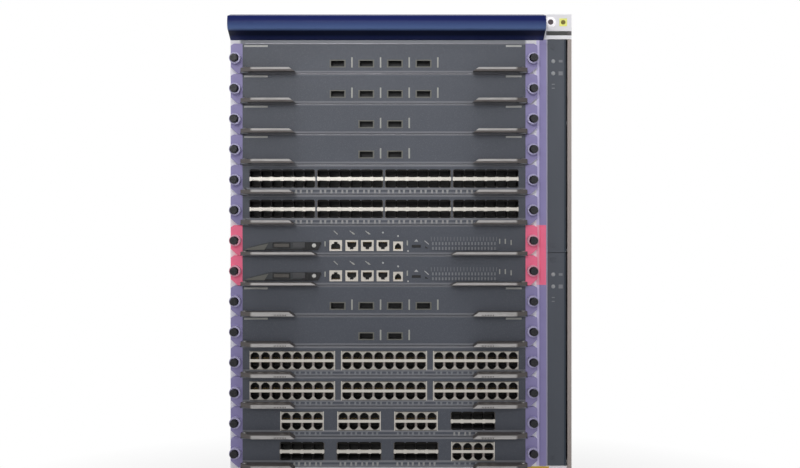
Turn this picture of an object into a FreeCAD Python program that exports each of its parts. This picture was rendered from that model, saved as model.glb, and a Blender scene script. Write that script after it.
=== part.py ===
"""Modular chassis switch: fourteen plug-in cards, two fan trays and four power supplies in one chassis.

Millimetres. X runs to the right of someone who faces the front, Y runs to the back, Z runs up.
The origin is at the bottom centre. Each sub-part is written to its own STEP file.
"""
import FreeCAD
import Part

import math
import os

Vector = FreeCAD.Vector

# ---------------------------------------------------------------- driving sizes
WIDTH = 436.0             # across the side panels
DEPTH = 450.0             # front flanges to the outside of the rear cover
WALL = 2.0                # chassis sheet
SEAT = 0.3                # clearance where one piece sits in or on another
SLOT_COUNT = 14
SLOT_PITCH = 38.5
CARD_GAP = 0.6            # between the faces of neighbouring cards
SUPPLY_BAY = 152.0        # clear height of the power bay
SHELF_LIP = 22.0          # front strip of the shelf under the cards
CROWN = 38.0              # front flange above the cards
LEFT_FLANGE = 12.0        # front return of the left side panel
RIGHT_LIP = 5.2           # front return of the right side panel
FAN_OPENING = 25.5        # width of the fan bay at the front
POST = 24.0               # front return of the partition
FAN_RISE = 6.0            # how far the fan bay reaches above the cards

# bezel bar
BEZEL_REACH = 30.0        # how far the bulge stands out in front
BEZEL_NOSE = 3.0          # how much of that is the bulge itself
BEZEL_WIDTH = 400.0
BEZEL_FACE = 16.2         # height of the bulged face
BEZEL_TOP_DROP = 5.5      # fall of the top face towards the front
BEZEL_FOOT = 5.0          # bare flange left under the bar

# cards
CARD_LEFT_LAP = 10.5      # how far a card's end cap covers the left flange
CARD_RIGHT_LAP = 10.0     # and the post
CAP_WIDTH = 15.0
CAP_CORNER = (9.0, 8.0)   # the corner cut off the lower outer end
CAP_SHOULDER = (4.0, 2.5)  # and off the upper outer end
PANEL_REACH = 8.0         # card face in front of the chassis flanges
PANEL_SHEET = 1.5
PANEL_BEVEL = 1.2         # folded edge above and below the face
CHANNEL = 20.0            # depth of the folded card front
BOARD = 1.8               # circuit board
BOARD_SIDE = 2.5          # board edge to the guide rails' face, the grip in the groove
BOARD_LENGTH = 340.0
PLUG_HEIGHT = 12.0        # rear connector of a card
PLUG_DEPTH = 9.0
PLUG_SPAN = 260.0
HEADER_DEPTH = 8.0
KNOB_RADIUS = 4.7
KNOB_INSET = 5.3          # outer end of a card to a knob's axis
KNOB_LENGTH = 15.0
ROUND_SIDES = 12          # sides of the many small knobs, pins and pin holes

# ejector levers
LEVER_LENGTH = 64.0       # pivot to tip on a line card
LONG_LEVER_LENGTH = 92.0  # on a control card
LEVER_REACH = 15.0        # pivot to the front edge of the handle
LEVER_HEIGHT = 5.0
LONG_LEVER_HEIGHT = 3.4
LEVER_BEVEL = 2.6         # upper front edge
LEVER_TIP_SLANT = 7.0
LEVER_ROOT = 5.0          # half width of the root around the pin
LEVER_STANDOFF = 1.0      # back of the handle to the card face
PIN_RADIUS = 2.0
PIN_INSET = 3.5           # pivot to the inner edge of the end cap
BRACKET = 1.0             # plate that carries the pin

# ports
CAGE_DEPTH = 26.0
PORT_PROUD = 0.6          # port blocks stand this far out of the card face
OPTICAL_SIZE = (17.8, 7.6)
OPTICAL_PITCH = 36.4
OPTICAL_SHIFT = 4.4       # the sockets stand this far left of the card's middle
OPTICAL_RIM = 1.6
OPTICAL_DEPTH = 18.0
OPTICAL_RISE = 3.8        # underside of the block above the board
ROW_HEIGHT = {"sfp": 7.0, "jack": 9.2}    # one row of a two-row port block
ROW_BAR = {"sfp": 5.6, "jack": 3.6}       # bright bar between the two rows
BLOCK_RIM = 1.2           # wall of a port block
BLOCK_RISE = 1.0          # block's middle above the card's middle
DIVIDER = 1.0             # sheet between neighbouring ports
DIVIDER_SET_BACK = 1.2    # dividers start this far behind the block's face
PORT_MARGIN = 9.0         # bare face at each end of a card full of ports
FULL_COLUMNS = 24         # columns of ports on such a card
SFP_GAP = 3.5             # between the groups of fibre ports of a full card
JACK_GAP = 9.0            # between its groups of copper ports
MIXED_MARGIN = 35.1       # bare face at each end of a mixed card, half a gap left out
MIXED_SHIFT = 4.4         # and its groups stand this far right of the card's middle
JACK_SIZE = (11.6, 7.0)   # opening of a single RJ45 jack
JACK_TAB = (4.6, 2.4)     # latch notch of a single RJ45 jack
JACK_RIM = 2.2
JACK_RISE = 2.0           # underside of a single jack above the board
JACK_DEPTH = 14.0

# what a control card carries: each jack's place right of the card's middle, and whether its notch is up
CONTROL_JACKS = ((-61.4, True), (-41.0, False), (-21.2, False), (-1.4, False))
AUX_PLACE = 17.8                  # small square socket right of the card's middle
AUX_SIZE = (8.0, 6.2)
AUX_TAB = (3.4, 1.4)
COVER_SIZE = (98.0, 10.4)         # cover of the option bay
COVER_PLACE = (2.0, 6.3)          # from the face's left end and the card's bottom
COVER_CORNER = (4.0, 8.0)         # the corner cut off its lower right
COVER_SLOPE = (33.0, 2.5)         # its upper left slopes down this far along, to this height
COVER_SHEET = 2.0
LAMP_FIELD_SIZE = (86.0, 21.0)
LAMP_FIELD_PLACE = (60.0, 6.0)    # from the card's middle and bottom
LAMP_FIELD_SHEET = 1.0

# groups of two-row ports across each kind of card: the style and the columns of every group
TWO_ROW_GROUPS = {
    "sfp": [("sfp", 6)] * 4,
    "copper": [("jack", 8)] * 3,
    "mixed_copper": [("jack", 4)] * 3 + [("sfp", 4)],
    "mixed_fibre": [("sfp", 4)] * 3 + [("jack", 4)],
}

# the kind of card in each slot, from the top slot down
LAYOUT = [
    "optical_4", "optical_4", "optical_2", "optical_2", "sfp", "sfp", "control", "control",
    "optical_4", "optical_2", "copper", "copper", "mixed_copper", "mixed_fibre",
]

# guides, backplane, grilles
GUIDE_LENGTH = 300.0
GUIDE_RAIL = 3.2          # height of the upper rail of a pair
GUIDE_CLEAR = 9.0         # air windows start this far above a card's bottom
BACKPLANE = 3.0
GRILLE_SLOT = (290.0, 9.0)
GRILLE_START = 70.0       # grille and air windows behind the front flanges
AIR_WINDOW = 240.0        # length of a window in the partition

# fan trays
TRAY_NAMES = ("lower", "upper")
TRAY_SHEET = 2.0
TRAY_EDGE_GAP = 2.2       # dark gap between a tray and the lip at its right
TRAY_LENGTH = 300.0
TRAY_RUNNER = 3.0         # runner under each tray
FANS_PER_TRAY = 2
FAN_PITCH = 124.0
FAN_SETBACK = 190.0       # fan axes behind the front
FAN_RADIUS = 56.0
FAN_TIP_GAP = 2.0
FAN_BLADES = 5
FAN_HUB = 24.0
MOTOR_BAR = (18.0, 2.5)   # width and thickness of the bar that carries the motor
BLADE_SHEET = 2.0
BLADE_PITCH = 40.0        # blade angle to the fan's axis

# power supplies
SUPPLY_COUNT = 4
SUPPLY_GAP = 0.8
HANDLE_BAR = 8.0
HANDLE_REACH = 26.0
HANDLE_HEIGHT = 96.0
HANDLE_INSET = 14.0       # left edge of the case to the handle
INLET_SIZE = (28.0, 22.0)
INLET_DEPTH = 20.0
INLET_MARGIN = 3.0        # rear cover's window around an inlet
VENT_SLOTS = 4
VENT_SIZE = (58.0, 6.0)
VENT_DEPTH = 6.0
VENT_INSET = 8.0          # right edge of the case to the slots

# wrist-strap jack
STRAP_NUT_RADIUS = 5.5
STRAP_NUT_REACH = 2.5
STRAP_BORE_RADIUS = 2.2
STRAP_BORE_DEPTH = 1.9
STRAP_PLACE = (9.0, 10.0)  # right of the bezel, below the top

# corner beside the bezel, and the label strip on the post
CORNER_SLOT = 5.5
CORNER_SLOT_RISE = 8.0
LABEL_WIDTH = 7.7
LABEL_INSET = 1.9
LABEL_SHEET = 1.0

# bracket holes in the side panels
EAR_HOLE_RADIUS = 2.25
EAR_HOLE_SPACING = 480.0
EAR_HOLE_INSET = 30.0

# ---------------------------------------------------------------- places worked out from them
FRONT = (BEZEL_REACH - DEPTH) / 2           # face of the front flanges
REAR = FRONT + DEPTH
LEFT = -WIDTH / 2
RIGHT = WIDTH / 2
CAGE_BOTTOM = WALL + SUPPLY_BAY + SHELF_LIP
CAGE_TOP = CAGE_BOTTOM + SLOT_COUNT * SLOT_PITCH
HEIGHT = CAGE_TOP + CROWN
FAN_TOP = CAGE_TOP + FAN_RISE
OPENING_LEFT = LEFT + LEFT_FLANGE           # card opening between flange and post
LIP_EDGE = RIGHT - RIGHT_LIP
FAN_LEFT = LIP_EDGE - FAN_OPENING
OPENING_RIGHT = FAN_LEFT - POST
CARD_LEFT = OPENING_LEFT - CARD_LEFT_LAP
CARD_RIGHT = OPENING_RIGHT + CARD_RIGHT_LAP
CARD_MIDDLE = (CARD_LEFT + CARD_RIGHT) / 2
CARD_FACE = FRONT - PANEL_REACH
FACE_LEFT = CARD_LEFT + CAP_WIDTH           # dark face between the caps
FACE_RIGHT = CARD_RIGHT - CAP_WIDTH
BOARD_LEFT = OPENING_LEFT + BOARD_SIDE
BOARD_RIGHT = OPENING_RIGHT - BOARD_SIDE
BOARD_FRONT = FRONT + SEAT
PLUG_REAR = BOARD_FRONT + BOARD_LENGTH + PLUG_DEPTH / 2
HEADER_FRONT = PLUG_REAR + SEAT
BACKPLANE_FRONT = HEADER_FRONT + HEADER_DEPTH
PIVOT_Y = CARD_FACE - LEVER_ROOT - LEVER_STANDOFF
OPTICAL_MIDDLE = CARD_MIDDLE - OPTICAL_SHIFT
PORT_SPAN = FACE_RIGHT - FACE_LEFT - 2 * PORT_MARGIN
SFP_PITCH = (PORT_SPAN - (len(TWO_ROW_GROUPS["sfp"]) - 1) * SFP_GAP) / FULL_COLUMNS
JACK_PITCH = (PORT_SPAN - (len(TWO_ROW_GROUPS["copper"]) - 1) * JACK_GAP) / FULL_COLUMNS
MIXED_SPACING = (FACE_RIGHT - FACE_LEFT - 2 * MIXED_MARGIN) / len(TWO_ROW_GROUPS["mixed_fibre"])
COLUMN_PITCH = {"sfp": SFP_PITCH, "jack": JACK_PITCH}
GROUP_SPACING = {
    "sfp": TWO_ROW_GROUPS["sfp"][0][1] * SFP_PITCH + SFP_GAP,
    "copper": TWO_ROW_GROUPS["copper"][0][1] * JACK_PITCH + JACK_GAP,
    "mixed_copper": MIXED_SPACING,
    "mixed_fibre": MIXED_SPACING,
}


# ---------------------------------------------------------------- helpers
def box(x, y, z):
    """A block between three pairs of limits."""
    return Part.makeBox(x[1] - x[0], y[1] - y[0], z[1] - z[0], Vector(x[0], y[0], z[0]))


def prism(corners, reach):
    """A flat outline pushed along a vector."""
    points = [Vector(*corner) for corner in corners]
    return Part.Face(Part.makePolygon(points + points[:1])).extrude(Vector(*reach))


def along_x(outline, x):
    """A (y, z) outline pushed from one x to another."""
    return prism([(x[0], y, z) for y, z in outline], (x[1] - x[0], 0, 0))


def along_y(outline, y):
    """An (x, z) outline pushed from one y to another."""
    return prism([(x, y[0], z) for x, z in outline], (0, y[1] - y[0], 0))


def along_z(outline, z):
    """An (x, y) outline pushed from one z to another."""
    return prism([(x, y, z[0]) for x, y in outline], (0, 0, z[1] - z[0]))


def about(middle, size):
    """The pair of limits of a size about its middle."""
    return (middle - size / 2, middle + size / 2)


def row(middle, count, pitch):
    """Evenly spaced places about a middle."""
    return [middle + (i - (count - 1) / 2) * pitch for i in range(count)]


def polygon(x, y, radius, sides):
    """Corners of a regular outline about a point."""
    angles = [2 * math.pi * i / sides for i in range(sides)]
    return [(x + radius * math.cos(angle), y + radius * math.sin(angle)) for angle in angles]


def save(name, shape):
    shape.exportStep("parts/" + name + ".step")


# ---------------------------------------------------------------- chassis sheet metal
def grille_slots(x):
    """Air slots through a side wall, one to each card slot."""
    length, height = GRILLE_SLOT
    y = (FRONT + GRILLE_START, FRONT + GRILLE_START + length)
    return [box(x, y, about((low + high) / 2, height)) for low, high in slot_limits()]


def ear_holes(x):
    """Two holes for a rack bracket, one above the other."""
    y = FRONT + EAR_HOLE_INSET
    reach = Vector(1, 0, 0)
    places = row(HEIGHT / 2, 2, EAR_HOLE_SPACING)
    return [Part.makeCylinder(EAR_HOLE_RADIUS, x[1] - x[0], Vector(x[0], y, z), reach) for z in places]


def left_side_panel():
    """Side sheet with the front return that the cards' left ends are screwed to."""
    wall = box((LEFT, LEFT + WALL), (FRONT, REAR), (0, HEIGHT))
    flange = box((LEFT, OPENING_LEFT), (FRONT, FRONT + WALL), (0, CAGE_TOP))
    through = (LEFT, LEFT + WALL)
    return wall.fuse(flange).removeSplitter().cut(grille_slots(through) + ear_holes(through))


def right_side_panel():
    """Side sheet with the narrow front lip beside the fan bay."""
    wall = box((RIGHT - WALL, RIGHT), (FRONT, REAR), (0, HEIGHT))
    lip = box((LIP_EDGE, RIGHT), (FRONT, FRONT + WALL), (0, FAN_TOP))
    through = (RIGHT - WALL, RIGHT)
    return wall.fuse(lip).removeSplitter().cut(grille_slots(through) + ear_holes(through))


def top_cover():
    """Top sheet folded down at the front; the fold is stepped over the fan bay and has a dark air slot."""
    left, right = LEFT + WALL, RIGHT - WALL
    plate = box((left, right), (FRONT, REAR - WALL), (HEIGHT - WALL, HEIGHT))
    fold = [
        (left, CAGE_TOP + SEAT),
        (FAN_LEFT, CAGE_TOP + SEAT),
        (FAN_LEFT, FAN_TOP + SEAT),
        (right, FAN_TOP + SEAT),
        (right, HEIGHT - WALL),
        (left, HEIGHT - WALL),
    ]
    flange = along_y(fold, (FRONT, FRONT + WALL))
    slot = box((FAN_LEFT, LIP_EDGE), (FRONT, FRONT + WALL), about(FAN_TOP + CORNER_SLOT_RISE, CORNER_SLOT))
    return plate.fuse(flange).removeSplitter().cut(slot)


def base_plate():
    """Floor sheet of the chassis, flat on what it stands on."""
    return box((LEFT + WALL, RIGHT - WALL), (FRONT + WALL, REAR - WALL), (0, WALL))


def rear_cover():
    """Back sheet with a window for each power inlet."""
    cover = box((LEFT + WALL, RIGHT - WALL), (REAR - WALL, REAR), (0, HEIGHT))
    width, height = INLET_SIZE
    middle = WALL + SUPPLY_BAY / 2
    z = about(middle, height + 2 * INLET_MARGIN)
    windows = [box(about(x, width + 2 * INLET_MARGIN), (REAR - WALL, REAR), z) for x in supply_middles()]
    return cover.cut(windows)


def mid_shelf():
    """Shelf between the cards and the power bay, folded down at the front."""
    y = (FRONT, REAR - WALL)
    shelf = box((LEFT + WALL, RIGHT - WALL), (FRONT + WALL, y[1]), (CAGE_BOTTOM - WALL, CAGE_BOTTOM))
    lip = box((OPENING_LEFT, LIP_EDGE), (FRONT, FRONT + WALL), (CAGE_BOTTOM - SHELF_LIP, CAGE_BOTTOM))
    return shelf.fuse(lip).removeSplitter()


def fan_bay_partition():
    """Wall between the cards and the fan bay, folded into a post, and the fan trays' runners."""
    z = (CAGE_BOTTOM, CAGE_TOP)
    outline = [
        (OPENING_RIGHT, FRONT),
        (FAN_LEFT, FRONT),
        (FAN_LEFT, FRONT + CHANNEL),
        (FAN_LEFT - WALL, FRONT + CHANNEL),
        (FAN_LEFT - WALL, FRONT + WALL),
        (OPENING_RIGHT + WALL, FRONT + WALL),
        (OPENING_RIGHT + WALL, REAR - WALL),
        (OPENING_RIGHT, REAR - WALL),
    ]
    wall = along_z(outline, z)
    start = FRONT + GRILLE_START
    windows = [
        box((OPENING_RIGHT, OPENING_RIGHT + WALL), (start, start + AIR_WINDOW),
            (low + GUIDE_CLEAR, high - PANEL_SHEET))
        for low, high in slot_limits()
    ]
    x, y = (OPENING_RIGHT + WALL, RIGHT - WALL), (FRONT + CHANNEL, REAR - WALL)
    floors = [CAGE_BOTTOM + index * tray_pitch() for index in range(len(TRAY_NAMES))]
    runners = [box(x, y, (floor, floor + TRAY_RUNNER)) for floor in floors]
    return Part.makeCompound([wall.cut(windows)] + runners)


def slot_labels():
    """Coloured fields on the post beside the card slots, in three strips."""
    x = (FAN_LEFT - LABEL_INSET - LABEL_WIDTH, FAN_LEFT - LABEL_INSET)
    control = [i for i, kind in enumerate(LAYOUT) if kind == "control"]
    limits = slot_limits()
    z_marks = [CAGE_TOP, limits[control[0]][1], limits[control[-1]][0], CAGE_BOTTOM]
    strips = [box(x, (FRONT - LABEL_SHEET, FRONT), (low, high)) for high, low in zip(z_marks, z_marks[1:])]
    return Part.makeCompound(strips)


def front_bezel():
    """Bar across the top: a bulged face, and an under side that slopes back to the chassis."""
    tip = FRONT - BEZEL_REACH + BEZEL_NOSE
    top = HEIGHT - BEZEL_TOP_DROP
    bottom = top - BEZEL_FACE
    corners = {
        "back_top": Vector(LEFT, FRONT, HEIGHT),
        "face_top": Vector(LEFT, tip, top),
        "nose": Vector(LEFT, FRONT - BEZEL_REACH, (top + bottom) / 2),
        "face_bottom": Vector(LEFT, tip, bottom),
        "back_bottom": Vector(LEFT, FRONT, CAGE_TOP + BEZEL_FOOT),
    }
    edges = [
        Part.makeLine(corners["back_top"], corners["face_top"]),
        Part.Arc(corners["face_top"], corners["nose"], corners["face_bottom"]).toShape(),
        Part.makeLine(corners["face_bottom"], corners["back_bottom"]),
        Part.makeLine(corners["back_bottom"], corners["back_top"]),
    ]
    return Part.Face(Part.Wire(edges)).extrude(Vector(BEZEL_WIDTH, 0, 0))


def esd_jack():
    """Socket for a wrist strap on the corner beside the bezel: a six-sided nut with a round hole."""
    right, down = STRAP_PLACE
    x, z = LEFT + BEZEL_WIDTH + right, HEIGHT - down
    nut = along_y(polygon(x, z, STRAP_NUT_RADIUS, 6), (FRONT - STRAP_NUT_REACH, FRONT))
    socket = Part.makeCylinder(
        STRAP_BORE_RADIUS, STRAP_BORE_DEPTH, Vector(x, FRONT - STRAP_NUT_REACH, z), Vector(0, 1, 0)
    )
    return nut.cut(socket)


# ---------------------------------------------------------------- cage
def slot_limits():
    """(bottom, top) of each card slot, from the top slot down."""
    bottoms = [CAGE_TOP - (i + 1) * SLOT_PITCH for i in range(SLOT_COUNT)]
    return [(bottom + CARD_GAP / 2, bottom + SLOT_PITCH - CARD_GAP / 2) for bottom in bottoms]


def board_limits(low):
    """Bottom and top of the board of the card that starts at this height."""
    return (low + PANEL_SHEET, low + PANEL_SHEET + BOARD)


def card_guides():
    """A pair of rails at each end of each board, with the board's edge between them."""
    rails = []
    left = (LEFT + WALL, BOARD_LEFT + BOARD_SIDE)
    right = (BOARD_RIGHT - BOARD_SIDE, OPENING_RIGHT)
    y = (BACKPLANE_FRONT - GUIDE_LENGTH, BACKPLANE_FRONT)
    for low, _ in slot_limits():
        bottom, top = board_limits(low)
        for x in (left, right):
            rails.append(box(x, y, (low - CARD_GAP / 2, bottom - SEAT)))
            rails.append(box(x, y, (top + SEAT, top + SEAT + GUIDE_RAIL)))
    return Part.makeCompound(rails)


def backplane():
    """Board across the back of the cage with a header for each card."""
    x = (LEFT + WALL, OPENING_RIGHT)
    pieces = [box(x, (BACKPLANE_FRONT, BACKPLANE_FRONT + BACKPLANE), (CAGE_BOTTOM, CAGE_TOP))]
    for low, _ in slot_limits():
        z = board_limits(low)[1]
        header = box(about(CARD_MIDDLE, PLUG_SPAN), (HEADER_FRONT, BACKPLANE_FRONT), (z, z + PLUG_HEIGHT))
        pieces.append(header)
    return Part.makeCompound(pieces)


# ---------------------------------------------------------------- card fronts
def folded_front(low, high, windows):
    """Card face with its folded top and bottom flanges, and windows for the port blocks."""
    face, back, t, c = CARD_FACE, CARD_FACE + CHANNEL, PANEL_SHEET, PANEL_BEVEL
    outline = [
        (face, low + c), (face, high - c), (face + c, high), (back, high), (back, high - t),
        (face + t, high - t), (face + t, low + t), (back, low + t), (back, low), (face + c, low),
    ]
    panel = along_x(outline, (FACE_LEFT, FACE_RIGHT))
    cuts = [box(x, (face - 1, face + t + 1), z) for x, z in windows]
    return panel.cut(cuts) if cuts else panel


def end_caps(low, high):
    """Coloured end pieces over the chassis flanges, each with its outer corners cut off."""
    across, up = CAP_CORNER
    caps = []
    for outer, inner in ((CARD_LEFT, FACE_LEFT), (CARD_RIGHT, FACE_RIGHT)):
        side = math.copysign(1, inner - outer)
        cut = [(outer + side * across, low), (outer, low + up)]
        shoulder = [(outer, high - CAP_SHOULDER[1]), (outer + side * CAP_SHOULDER[0], high)]
        outline = shoulder + [(inner, high), (inner, low)] + cut
        caps.append(along_y(outline, (CARD_FACE, FRONT - SEAT)))
    return caps


def knobs(low, high):
    """Captive thumbscrews near the outer edge of each end cap."""
    return [
        along_y(polygon(x, (low + high) / 2, KNOB_RADIUS, ROUND_SIDES), (CARD_FACE - KNOB_LENGTH, CARD_FACE))
        for x in (CARD_LEFT + KNOB_INSET, CARD_RIGHT - KNOB_INSET)
    ]


def pivot(side):
    """X of a lever's pin: side is -1 at the card's left end and 1 at its right."""
    return FACE_LEFT + PIN_INSET if side < 0 else FACE_RIGHT - PIN_INSET


def lever_size(kind):
    """Length and height of the levers on one kind of card."""
    return (LONG_LEVER_LENGTH, LONG_LEVER_HEIGHT) if kind == "control" else (LEVER_LENGTH, LEVER_HEIGHT)


def lever_bracket(side, low, height):
    """Plate on the card face with the upright pin that a lever turns on."""
    x, top = pivot(side), low + BRACKET
    plate = box(about(x, 2 * LEVER_ROOT), (PIVOT_Y - LEVER_ROOT, CARD_FACE), (low, top))
    pin = along_z(polygon(x, PIVOT_Y, PIN_RADIUS, ROUND_SIDES), (top, top + SEAT + height))
    return plate.fuse(pin)


def lever(side, low, length, height):
    """Ejector lever: root with the pin hole, flat handle along the card face, bevelled edge, slanted tip."""
    x = pivot(side)
    inward = -side
    z = (low + BRACKET + SEAT, low + BRACKET + SEAT + height)
    r = LEVER_ROOT
    back = PIVOT_Y + LEVER_ROOT
    front = PIVOT_Y - LEVER_REACH
    shape = [
        (-r, PIVOT_Y + r / 2), (-r / 2, back), (length, back), (length, front),
        (2.2 * r, front), (-r, PIVOT_Y - r / 2),
    ]
    bar = along_z([(x + inward * u, y) for u, y in shape], z)
    hole = along_z(polygon(x, PIVOT_Y, PIN_RADIUS + 1.5 * SEAT, ROUND_SIDES), z)
    b = LEVER_BEVEL
    bevel = along_x([(front - 1, z[1] - b - 1), (front - 1, z[1] + 1), (front + b + 1, z[1] + 1)],
                    (x - length - 1, x + length + 1))
    end = x + inward * length
    slant = along_y([(end, z[0]), (end + inward, z[1] + 1), (end - inward * LEVER_TIP_SLANT, z[1])],
                    (front - 1, back + 1))
    return bar.cut([hole, bevel, slant])


# ---------------------------------------------------------------- ports
def two_row_block(style, columns, x_middle, z_middle):
    """Two rows of ports: a shell open to the front, upright dividers, and a bar between the rows."""
    pitch, bar = COLUMN_PITCH[style], ROW_BAR[style]
    inside = columns * pitch - DIVIDER
    face = CARD_FACE - PORT_PROUD
    x = about(x_middle, inside + 2 * BLOCK_RIM)
    tall = 2 * ROW_HEIGHT[style] + bar
    y = (face, face + CAGE_DEPTH)
    shell = box(x, y, about(z_middle, tall + 2 * BLOCK_RIM))
    hollow = box(about(x_middle, inside), (face, y[1] - BLOCK_RIM), about(z_middle, tall))
    pieces = [shell.cut(hollow)]
    bar_y = (face, face + DIVIDER_SET_BACK)
    pieces.append(box(about(x_middle, inside), bar_y, about(z_middle, bar)))
    for divider in row(x_middle, columns - 1, pitch):
        pieces.append(box(about(divider, DIVIDER), (bar_y[1], y[1] - BLOCK_RIM), about(z_middle, tall)))
    return pieces, (x, about(z_middle, tall + 2 * BLOCK_RIM))


def optical_socket_height(low):
    """Z of the middle of a card's optical sockets."""
    return board_limits(low)[1] + OPTICAL_RISE + OPTICAL_RIM + OPTICAL_SIZE[1] / 2


def optical_block(count, low):
    """Floor, roof, back and upright walls around a socket for each optical module."""
    width, height = OPTICAL_SIZE
    z_middle = optical_socket_height(low)
    x = about(OPTICAL_MIDDLE, (count - 1) * OPTICAL_PITCH + width + 2 * OPTICAL_RIM)
    z, mouth = about(z_middle, height + 2 * OPTICAL_RIM), about(z_middle, height)
    front, back, rear = CARD_FACE, CARD_FACE + OPTICAL_DEPTH, CARD_FACE + CAGE_DEPTH
    pieces = [box(x, (front, back), (z[0], mouth[0])), box(x, (front, back), (mouth[1], z[1]))]
    sockets = [about(middle, width) for middle in row(OPTICAL_MIDDLE, count, OPTICAL_PITCH)]
    starts = [x[0]] + [socket[1] for socket in sockets]
    ends = [socket[0] for socket in sockets] + [x[1]]
    pieces += [box(wall, (front, back), mouth) for wall in zip(starts, ends)]
    return pieces + [box(x, (back, rear), z)], (x, z)


def single_jack(x_middle, low, tab_up, size=JACK_SIZE, notch=JACK_TAB):
    """RJ45 jack, or a smaller socket of that shape, with the notch for the plug's latch."""
    width, height = size
    tab_width, tab_height = notch
    z_low = board_limits(low)[1] + JACK_RISE
    x = about(x_middle, width + 2 * JACK_RIM)
    z = (z_low, z_low + height + tab_height + 2 * JACK_RIM)
    face = CARD_FACE - PORT_PROUD
    floor = z[0] + JACK_RIM if tab_up else z[1] - JACK_RIM
    up = 1 if tab_up else -1
    half, tab = width / 2, tab_width / 2
    outline = [
        (-half, 0), (half, 0), (half, height), (tab, height), (tab, height + tab_height),
        (-tab, height + tab_height), (-tab, height), (-half, height),
    ]
    mouth = along_y([(x_middle + u, floor + up * v) for u, v in outline], (face, face + JACK_DEPTH))
    return box(x, (face, face + CAGE_DEPTH), z).cut(mouth), (x, z)


def control_fittings(low):
    """Jacks, bay cover and lamp field of a control card."""
    jacks = [single_jack(CARD_MIDDLE + offset, low, tab_up) for offset, tab_up in CONTROL_JACKS]
    jacks.append(single_jack(CARD_MIDDLE + AUX_PLACE, low, True, AUX_SIZE, AUX_TAB))
    pieces = [jack for jack, _ in jacks]
    windows = [window for _, window in jacks]
    x0, z0 = FACE_LEFT + COVER_PLACE[0], low + COVER_PLACE[1]
    x1, z1 = x0 + COVER_SIZE[0], z0 + COVER_SIZE[1]
    across, up = COVER_CORNER
    along, height = COVER_SLOPE
    cover = [(x0, z0), (x1 - across, z0), (x1, z0 + up), (x1, z1), (x0 + along, z1), (x0, z0 + height)]
    pieces.append(along_y(cover, (CARD_FACE - COVER_SHEET, CARD_FACE)))
    x, z = CARD_MIDDLE + LAMP_FIELD_PLACE[0], low + LAMP_FIELD_PLACE[1]
    width, height = LAMP_FIELD_SIZE
    pieces.append(box((x, x + width), (CARD_FACE - LAMP_FIELD_SHEET, CARD_FACE), (z, z + height)))
    return pieces, windows


def fittings(kind, low, high):
    """What stands in the face of one kind of card, with the windows that it needs there."""
    if kind == "control":
        return control_fittings(low)
    if kind.startswith("optical"):
        block, window = optical_block(int(kind[-1]), low)
        return block, [window]
    pieces, windows = [], []
    groups = TWO_ROW_GROUPS[kind]
    middle = CARD_MIDDLE + (MIXED_SHIFT if kind.startswith("mixed") else 0.0)
    for x, (style, columns) in zip(row(middle, len(groups), GROUP_SPACING[kind]), groups):
        block, window = two_row_block(style, columns, x, (low + high) / 2 + BLOCK_RISE)
        pieces += block
        windows.append(window)
    return pieces, windows


def card(kind, low, high):
    """One plug-in card: folded front, end caps, knobs, lever brackets, ports, board and rear plug."""
    ports, windows = fittings(kind, low, high)
    bottom, top = board_limits(low)
    board = box((BOARD_LEFT, BOARD_RIGHT), (BOARD_FRONT, BOARD_FRONT + BOARD_LENGTH), (bottom, top))
    plug = box(about(CARD_MIDDLE, PLUG_SPAN), (PLUG_REAR - PLUG_DEPTH, PLUG_REAR), (top, top + PLUG_HEIGHT))
    pieces = [folded_front(low, high, windows)] + end_caps(low, high) + knobs(low, high)
    pieces += [lever_bracket(side, low, lever_size(kind)[1]) for side in (-1, 1)]
    return Part.makeCompound(pieces + ports + [board, plug])


# ---------------------------------------------------------------- fan trays
def tray_pitch():
    """Height that each fan tray has in the fan bay."""
    return (FAN_TOP - CAGE_BOTTOM) / len(TRAY_NAMES)


def fan_rotor(x, y, z):
    """Moulded rotor that turns about X: a hub with a flat for each blade, and blades set at an angle."""
    hub = along_x(polygon(y, z, FAN_HUB, FAN_BLADES), x)
    root = FAN_HUB * math.cos(math.pi / FAN_BLADES) - BLADE_SHEET
    width = (x[1] - x[0] - 2 * BLADE_SHEET) / math.cos(math.radians(BLADE_PITCH))
    middle = Vector((x[0] + x[1]) / 2, y, z)
    blades = []
    for i in range(FAN_BLADES):
        blade = Part.makeBox(width, BLADE_SHEET, FAN_RADIUS - FAN_TIP_GAP - root)
        blade.translate(middle + Vector(-width / 2, -BLADE_SHEET / 2, root))
        blade.rotate(middle, Vector(0, 0, 1), BLADE_PITCH)
        blade.rotate(middle, Vector(1, 0, 0), 360.0 * (i + 0.5) / FAN_BLADES - 90)
        blades.append(blade)
    return hub.fuse(blades)


def fan_tray(index):
    """Slide-in tray: front plate, a frame with round fan openings and motor bars, and the rotors."""
    floor = CAGE_BOTTOM + index * tray_pitch()
    top = floor + tray_pitch() - SEAT
    x = (FAN_LEFT + SEAT, LIP_EDGE - TRAY_EDGE_GAP)
    plate = box(x, (FRONT, FRONT + TRAY_SHEET), (floor + SEAT, top))
    frame = box(x, (FRONT + TRAY_SHEET, FRONT + TRAY_LENGTH), (floor + TRAY_RUNNER + SEAT, top))
    y = FRONT + FAN_SETBACK
    width, thickness = MOTOR_BAR
    rotors = []
    for z in row((floor + TRAY_RUNNER + top) / 2, FANS_PER_TRAY, FAN_PITCH):
        opening = Part.makeCylinder(FAN_RADIUS, x[1] - x[0], Vector(x[0], y, z), Vector(1, 0, 0))
        bar = box((x[0], x[0] + thickness), about(y, width), about(z, 2 * FAN_RADIUS + 1))
        frame = frame.cut(opening).fuse(bar)
        rotors.append(fan_rotor((x[0] + thickness + SEAT, x[1] - FAN_TIP_GAP), y, z))
    return Part.makeCompound([plate, frame] + rotors)


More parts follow.
